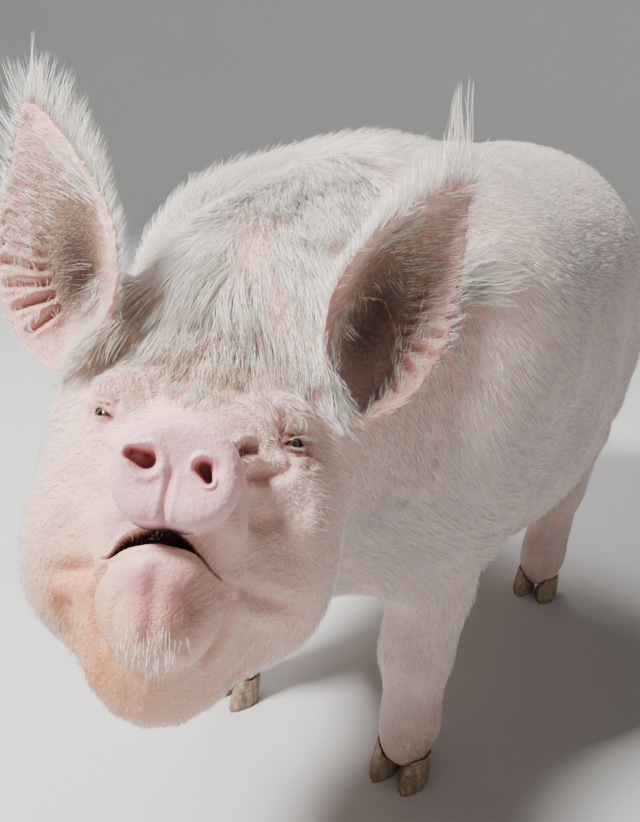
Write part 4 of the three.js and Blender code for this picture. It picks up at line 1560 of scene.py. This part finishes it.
def grow_lashes(hide):
    """Pale lashes along both lids of each eye."""
    UPPER_LASHES, LOWER_LASHES = 34, 16
    pieces = []
    for hand, side in SIDES.items():
        rng = np.random.default_rng(140 + side)
        centre, inner, upward, outward = eye_axes(side)
        share = np.concatenate([np.linspace(-0.9, 0.9, UPPER_LASHES),
                                np.linspace(-0.8, 0.8, LOWER_LASHES)])
        upper = np.arange(len(share)) < UPPER_LASHES
        rise = np.where(upper, 0.0058, -0.0044) * (1 - 0.55 * share ** 2)
        places = centre + np.outer(share * EYE_HALF_WIDTH, inner) + np.outer(rise, upward)
        places = places + np.outer(np.full(len(share), EYE_RADIUS), outward)
        roots = []
        for place in HEAD.world(places):
            roots.append(hide.tree.find_nearest(Vector(place))[0])
        fan = np.outer(share * 0.7, inner)
        lie = fan + np.outer(np.where(upper, 0.10, -0.45), upward) + outward * 0.8
        normals = np.tile(HEAD.turn(outward), (len(share), 1))
        growth = Growth(0.014, 0.00055, rings=4, lift=0.1, sway=0.10, droop=0.8)
        lengths = np.where(upper, 0.015, 0.009) * rng.uniform(0.7, 1.2, len(share))
        pieces.append(make_hairs(f"lashes_{hand}", hide, growth, np.array(roots), normals,
                                 unit(HEAD.turn(lie)), lengths, np.zeros(len(share)), rng))
    return pieces


def grow_tail_switch(hide):
    """The longer hair at the end of the tail."""
    HAIRS = 900
    above_end = hide.world[:, 2] - np.array(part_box("tail")[0])[2]
    on_tail = smooth_step(hide.world[:, 1], 0.745, 0.765)
    end = 1 - smooth_step(above_end, 0.06, 0.17)
    rest = 1 - smooth_step(above_end, 0.03, 0.12)
    growth = Growth(0.055, 0.0010, rings=4, lift=0.1, sway=0.12, wave=0.1, clump=0.5, crowd=9)
    return grow_coat("coat_tail", hide, growth, on_tail * end * rest, HAIRS, 150,
                     lie=one_way((0.0, 0.05, -1.0), 0.12))


# ---------------------------------------------------------------- materials


class Finish:
    """A material and short ways to add the nodes that pattern it."""

    def __init__(self, name, **shader):
        self.material = bpy.data.materials.new(name)
        self.material.use_nodes = True
        self.nodes = self.material.node_tree.nodes
        self.links = self.material.node_tree.links
        self.shader = self.nodes["Principled BSDF"]
        for socket, value in shader.items():
            self.shader.inputs[socket.replace("_", " ")].default_value = value
        self.place = self.nodes.new("ShaderNodeTexCoord").outputs["Object"]

    def join(self, value, socket):
        """Links an output to a socket, or sets the socket to a plain value."""
        if isinstance(value, bpy.types.NodeSocket):
            self.links.new(value, socket)
        else:
            socket.default_value = value

    def mark(self, name):
        """A mark kept on the mesh."""
        node = self.nodes.new("ShaderNodeAttribute")
        node.attribute_name = name
        return node.outputs["Fac"]

    def noise(self, scale, detail=4.0, rough=0.55, stretch=None):
        """Cloudy noise at a scale per metre."""
        node = self.nodes.new("ShaderNodeTexNoise")
        node.inputs["Scale"].default_value = scale
        node.inputs["Detail"].default_value = detail
        node.inputs["Roughness"].default_value = rough
        self.links.new(self.stretched(stretch), node.inputs["Vector"])
        return node.outputs["Fac"]

    def cells(self, scale, feature="F1"):
        """Distances to scattered points or to the borders between them."""
        node = self.nodes.new("ShaderNodeTexVoronoi")
        node.feature = feature
        node.inputs["Scale"].default_value = scale
        self.links.new(self.place, node.inputs["Vector"])
        return node.outputs["Distance"]

    def stretched(self, scale):
        """The place on the object, stretched where a scale is given."""
        if scale is None:
            return self.place
        node = self.nodes.new("ShaderNodeMapping")
        node.inputs["Scale"].default_value = scale
        self.links.new(self.place, node.inputs["Vector"])
        return node.outputs["Vector"]

    def math(self, operation, first, second):
        """Arithmetic on two values."""
        node = self.nodes.new("ShaderNodeMath")
        node.operation = operation
        self.join(first, node.inputs[0])
        self.join(second, node.inputs[1])
        return node.outputs[0]

    def times(self, first, second):
        """Two values multiplied."""
        return self.math("MULTIPLY", first, second)

    def spread(self, value, low, high, to_low=0.0, to_high=1.0):
        """A range of values made wider or narrower, with soft ends."""
        node = self.nodes.new("ShaderNodeMapRange")
        node.interpolation_type = "SMOOTHSTEP"
        self.join(value, node.inputs["Value"])
        for socket, number in (("From Min", low), ("From Max", high), ("To Min", to_low),
                               ("To Max", to_high)):
            node.inputs[socket].default_value = number
        return node.outputs["Result"]

    def blend(self, factor, first, second, how="MIX"):
        """One colour over another."""
        node = self.nodes.new("ShaderNodeMix")
        node.data_type = "RGBA"
        node.blend_type = how
        node.clamp_factor = True
        self.join(factor, node.inputs[0])
        for socket, value in ((node.inputs[6], first), (node.inputs[7], second)):
            self.join(value if isinstance(value, bpy.types.NodeSocket) else (*value, 1), socket)
        return node.outputs[2]

    def colour(self, value):
        """Sets the base colour."""
        self.links.new(value, self.shader.inputs["Base Color"])

    def roughness(self, value):
        """Sets the roughness."""
        self.links.new(value, self.shader.inputs["Roughness"])

    def bump(self, layers):
        """Bump from pairs of height and depth in metres."""
        normal = None
        for height, depth in layers:
            node = self.nodes.new("ShaderNodeBump")
            node.inputs["Distance"].default_value = depth
            self.links.new(height, node.inputs["Height"])
            if normal is not None:
                self.links.new(normal, node.inputs["Normal"])
            normal = node.outputs["Normal"]
        self.links.new(normal, self.shader.inputs["Normal"])


def hide_finish():
    """Soft pink hide with blood, mottling, mud and stain, painted shade in its hollows and folds,
    pores and fine creases.
    """
    sizes = bpy.context.scene.pig_skin
    finish = Finish("pig hide", Subsurface_Weight=0.22, Subsurface_Scale=0.010,
                    Subsurface_Radius=(1.0, 0.35, 0.2), Coat_Roughness=0.35)
    clouds = finish.noise(9.0, 5.0)
    blotches = finish.noise(34.0, 4.0)
    grain = finish.noise(210.0, 3.0)
    paler = [min(1.0, part * 1.16) for part in sizes.pink]
    base = finish.blend(finish.spread(clouds, 0.35, 0.68), sizes.pink, paler)
    # Flush, stain and dirt also hold painted shade: along the folds, on the jowl and chin, inside the
    # ears and round the left eye
    for mark, tint, pattern, limits in (
        ("grey", sizes.grey, blotches, (0.25, 0.75, 0.5, 1.25)),
        ("bare", sizes.snout, None, None),
        ("flush", sizes.flush, blotches, (0.2, 0.8, 0.72, 1.15)),
        ("stain_and_shade", sizes.stain_and_shade, clouds, (0.2, 0.75, 0.65, 1.1)),
        ("dirt_and_shade", sizes.dirt_and_shade, grain, (0.25, 0.7, 0.45, 1.25)),
    ):
        strength = finish.mark(mark)
        if pattern is not None:
            strength = finish.times(strength, finish.spread(pattern, *limits))
        base = finish.blend(strength, base, tint)
    freckles = finish.spread(finish.noise(95.0, 6.0, 0.7), 0.60, 0.76, 0.0, 0.22)
    base = finish.blend(freckles, base, sizes.flush)
    # The dark mark: lid rims, and painted shade in the mouth, nostrils, ear hollows, a nose fold and
    # round the left eye
    base = finish.blend(finish.mark("dark_and_shade"), base, sizes.dark_and_shade)
    finish.colour(base)
    wet = finish.times(finish.mark("bare"), 0.16)
    dry = finish.spread(blotches, 0.2, 0.8, 0.50, 0.66)
    finish.roughness(finish.math("SUBTRACT", dry, wet))
    smoother = finish.spread(finish.mark("bare"), 0.0, 1.0, 1.0, 0.3)
    borders = finish.spread(finish.cells(170.0, "DISTANCE_TO_EDGE"), 0.0, 0.16)
    borders = finish.times(borders, smoother)
    pores = finish.spread(finish.cells(520.0), 0.0, 0.42)
    long_creases = finish.times(finish.noise(120.0, 4.0, 0.6, stretch=(1.0, 0.45, 1.0)), smoother)
    finish.bump(((long_creases, 0.0018), (borders, 0.0003), (pores, 0.0003), (grain, 0.0010)))
    return finish.material


def hair_finish():
    """Pale coarse hair that carries the hide's marks, painted shade in them included, with painted
    shade at the creamier roots and mud at some tips.
    """
    sizes = bpy.context.scene.pig_coat
    hide = bpy.context.scene.pig_skin
    finish = Finish("white bristle", Roughness=0.48)
    tone = finish.mark("tone")
    along = finish.mark("along")
    base = finish.blend(finish.spread(tone, 0.35, 1.0), sizes.white, sizes.cream)
    # Roots blended to cream: painted shade deep in the coat
    base = finish.blend(finish.spread(along, 0.0, 0.35, 0.35, 0.0), base, sizes.cream)
    # Stain and dirt bring the hide's painted shade on the jowl, chin and round the left eye
    for mark, share, tint in (("grey", 0.20, hide.grey), ("stain_and_shade", 0.80, hide.stain_and_shade),
                              ("dirt_and_shade", 0.60, sizes.tan)):
        base = finish.blend(finish.times(finish.mark(mark), share), base, tint)
    muddy = finish.times(finish.mark("mud"), finish.spread(along, 0.10, 0.85))
    muddy = finish.times(muddy, finish.spread(finish.noise(45.0), 0.3, 0.7, 0.55, 1.25))
    base = finish.blend(muddy, base, sizes.tan)
    finish.colour(base)
    finish.roughness(finish.spread(tone, 0.0, 1.0, 0.40, 0.58))
    return finish.material


def eye_finish():
    """A dark brown eye with a black pupil, a yellowish white and a wet surface."""
    iris = bpy.context.scene.pig_parts.iris
    finish = Finish("wet eye", Roughness=0.16, Coat_Weight=0.6, Coat_Roughness=0.08)
    fibres = finish.noise(900.0, 3.0)
    base = finish.blend(finish.spread(fibres, 0.3, 0.7), iris, [part * 2.2 for part in iris])
    from_pole = finish.mark("from_pole")
    for limits, tint in (
        ((0.19, 0.25), (0.020, 0.012, 0.010)),
        ((0.29, 0.35), (0.30, 0.20, 0.16)),
        ((0.070, 0.085, 1.0, 0.0), (0.004, 0.003, 0.003)),
    ):
        base = finish.blend(finish.spread(from_pole, *limits), base, tint)
    finish.colour(base)
    return finish.material


def horn_finish():
    """Brown horn, paler towards the sole, streaked and ringed."""
    horn = bpy.context.scene.pig_parts.horn
    finish = Finish("hoof horn", Roughness=0.5)
    streaks = finish.noise(150.0, 5.0, stretch=(1.0, 1.0, 0.12))
    rings = finish.noise(120.0, 3.0, stretch=(0.15, 0.15, 2.2))
    base = finish.blend(finish.spread(streaks, 0.3, 0.7), horn, [part * 2.4 for part in horn])
    base = finish.blend(finish.spread(rings, 0.45, 0.7, 0.0, 0.45), base, (0.07, 0.045, 0.03))
    mud = finish.spread(finish.mark("height"), 0.0, 0.45, 0.65, 0.0)
    mud = finish.times(mud, finish.spread(finish.noise(70.0), 0.35, 0.65))
    base = finish.blend(mud, base, (0.15, 0.10, 0.06))
    finish.colour(base)
    finish.roughness(finish.spread(streaks, 0.2, 0.8, 0.38, 0.62))
    finish.bump(((rings, 0.0008), (streaks, 0.0005)))
    return finish.material


def floor_finish():
    """A plain pale floor with the faintest unevenness."""
    finish = Finish("pale floor", Roughness=0.9)
    finish.colour(finish.blend(finish.noise(1.5), (0.50, 0.495, 0.485), (0.54, 0.535, 0.525)))
    return finish.material


# ---------------------------------------------------------------- stage


def make_floor():
    """A wide pale floor that curves up all round into a pale wall."""
    sizes = bpy.context.scene.pig_stage
    BEND, WALL, STEPS = 3.0, 7.0, 10
    deselect_all()
    bpy.ops.mesh.primitive_circle_add(vertices=96, radius=sizes.floor_radius, fill_type="NGON")
    floor = bpy.context.active_object
    floor.name = "floor"
    bpy.ops.object.mode_set(mode="EDIT")
    reach, height = sizes.floor_radius, 0.0
    for step in range(1, STEPS + 2):
        turn = math.pi / 2 * min(step, STEPS) / STEPS
        next_reach = sizes.floor_radius + BEND * math.sin(turn)
        next_height = BEND * (1 - math.cos(turn)) + (WALL if step > STEPS else 0)
        bpy.ops.mesh.select_mode(type="EDGE")
        bpy.ops.mesh.select_all(action="SELECT")
        if step > 1:
            bpy.ops.mesh.select_all(action="DESELECT")
            bpy.ops.mesh.select_non_manifold()
        bpy.ops.mesh.extrude_edges_move(
            TRANSFORM_OT_translate={"value": (0, 0, next_height - height)})
        grow = next_reach / reach
        bpy.ops.transform.resize(value=(grow, grow, 1), center_override=(0, 0, 0))
        reach, height = next_reach, next_height
    bpy.ops.object.mode_set(mode="OBJECT")
    bpy.ops.object.shade_smooth()
    floor.data.materials.append(floor_finish())


def make_lights():
    """A small key light, a weak fill, a rim light from behind and a faint pale surround."""
    world = bpy.data.worlds.new("pale surround")
    world.use_nodes = True
    background = world.node_tree.nodes["Background"]
    background.inputs["Color"].default_value = (0.88, 0.91, 0.95, 1)
    background.inputs["Strength"].default_value = bpy.context.scene.pig_stage.surround
    bpy.context.scene.world = world
    aim = Vector((0.0, -0.35, 0.6))
    for name, place, size, power in (
        ("key", (-1.6, -2.6, 4.4), 1.0, 760),
        ("fill", (2.6, -2.6, 1.4), 2.5, 5),
        ("rim", (-1.4, 2.0, 3.2), 1.5, 150),
    ):
        bpy.ops.object.light_add(type="AREA", location=place)
        lamp = bpy.context.active_object
        lamp.name = name
        lamp.data.size = size
        lamp.data.energy = power
        lamp.rotation_euler = (aim - Vector(place)).to_track_quat("-Z", "Y").to_euler()


def make_camera():
    """The camera in front of the pig's left shoulder, a little above its eyes."""
    TURN, PITCH, ROLL = math.radians(30), math.radians(20.1), math.radians(3)
    camera = bpy.data.objects.new("camera", bpy.data.cameras.new("camera"))
    camera.data.lens = 35.04
    camera.data.sensor_width = 36
    camera.matrix_world = (
        Matrix.Translation((0.5396, -1.2660, 0.9800))
        @ Matrix.Rotation(TURN, 4, "Z")
        @ Matrix.Rotation(math.pi / 2 - PITCH, 4, "X")
        @ Matrix.Rotation(ROLL, 4, "Z")
    )
    bpy.context.collection.objects.link(camera)
    bpy.context.scene.camera = camera


# ---------------------------------------------------------------- operators


def finished(piece, material):
    """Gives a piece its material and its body."""
    piece.data.materials.clear()
    piece.data.materials.append(material)
    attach(piece, "root")


class PIG_OT_skin(bpy.types.Operator):
    """Builds the one skin over all the flesh"""

    bl_idname = "pig.skin"
    bl_label = "Skin"

    def execute(self, context):
        """Builds the skin and gives it its material."""
        skin = make_skin()
        shade_smooth(skin)
        finished(skin, hide_finish())
        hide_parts(*FLESH)
        return {"FINISHED"}


class PIG_OT_eyes(bpy.types.Operator):
    """Builds both eyeballs"""

    bl_idname = "pig.eyes"
    bl_label = "Eyes"

    def execute(self, context):
        """Builds the eyes where the frame has them."""
        material = eye_finish()
        for hand in SIDES:
            eye = make_eye(hand)
            finished(eye, material)
            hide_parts(f"eye_{hand}")
        return {"FINISHED"}


class PIG_OT_hooves(bpy.types.Operator):
    """Builds the hooves of all four feet"""

    bl_idname = "pig.hooves"
    bl_label = "Hooves"

    def execute(self, context):
        """Builds one piece of claws and dewclaws for each foot."""
        material = horn_finish()
        for end, hand in FEET:
            hooves, nodes = make_hooves(end, hand)
            finished(hooves, material)
            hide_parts(*nodes)
        return {"FINISHED"}


class PIG_OT_coat(bpy.types.Operator):
    """Grows the bristles, forelock, ear hair, tufts and lashes"""

    bl_idname = "pig.coat"
    bl_label = "Coat"

    def execute(self, context):
        """Grows the coat over the skin, which must be there."""
        skin = bpy.data.objects.get("skin")
        if skin is None:
            raise RuntimeError("the skin has to be built before the coat")
        hide = Hide(skin)
        material = hair_finish()
        pieces = grow_body_coat(hide) + grow_face_coat(hide) + grow_forelock(hide)
        pieces += grow_poll(hide) + grow_tufts(hide) + grow_lashes(hide) + grow_tail_switch(hide)
        for hand in SIDES:
            pieces += grow_ear_coat(hide, hand)
        for piece in pieces:
            finished(piece, material)
        return {"FINISHED"}


class PIG_OT_stage(bpy.types.Operator):
    """Adds the pale floor, the soft lights and the camera"""

    bl_idname = "pig.stage"
    bl_label = "Stage"

    def execute(self, context):
        """Builds the stage."""
        make_floor()
        make_lights()
        make_camera()
        return {"FINISHED"}


class PIG_PT_panel(bpy.types.Panel):
    """Lists what the add-on builds"""

    bl_idname = "PIG_PT_panel"
    bl_label = "White Pig"
    bl_space_type = "VIEW_3D"
    bl_region_type = "UI"
    bl_category = "Pig"

    def draw(self, context):
        """Shows each builder with the sizes it reads."""
        groups = (
            (PIG_OT_skin, "pig_skin"), (PIG_OT_eyes, "pig_parts"), (PIG_OT_hooves, "pig_parts"),
            (PIG_OT_coat, "pig_coat"), (PIG_OT_stage, "pig_stage"),
        )
        for operator, group in groups:
            box = self.layout.box()
            box.operator(operator.bl_idname)
            settings = getattr(context.scene, group)
            for name in settings.__annotations__:
                box.prop(settings, name)


# ---------------------------------------------------------------- add-on

GROUPS = {
    "pig_skin": PigSkinSettings, "pig_coat": PigCoatSettings,
    "pig_parts": PigPartSettings, "pig_stage": PigStageSettings,
}
CLASSES = (*GROUPS.values(), PIG_OT_skin, PIG_OT_eyes, PIG_OT_hooves, PIG_OT_coat, PIG_OT_stage,
           PIG_PT_panel)


def register():
    """Registers the classes and their settings."""
    for cls in CLASSES:
        bpy.utils.register_class(cls)
    for name, group in GROUPS.items():
        setattr(bpy.types.Scene, name, bpy.props.PointerProperty(type=group))


def unregister():
    """Removes the settings and the classes."""
    for name in GROUPS:
        delattr(bpy.types.Scene, name)
    for cls in reversed(CLASSES):
        bpy.utils.unregister_class(cls)


def main():
    """Builds everything in order."""
    register()
    bpy.ops.pig.skin()
    bpy.ops.pig.eyes()
    bpy.ops.pig.hooves()
    bpy.ops.pig.coat()
    bpy.ops.pig.stage()


if __name__ == "__main__":
    main()
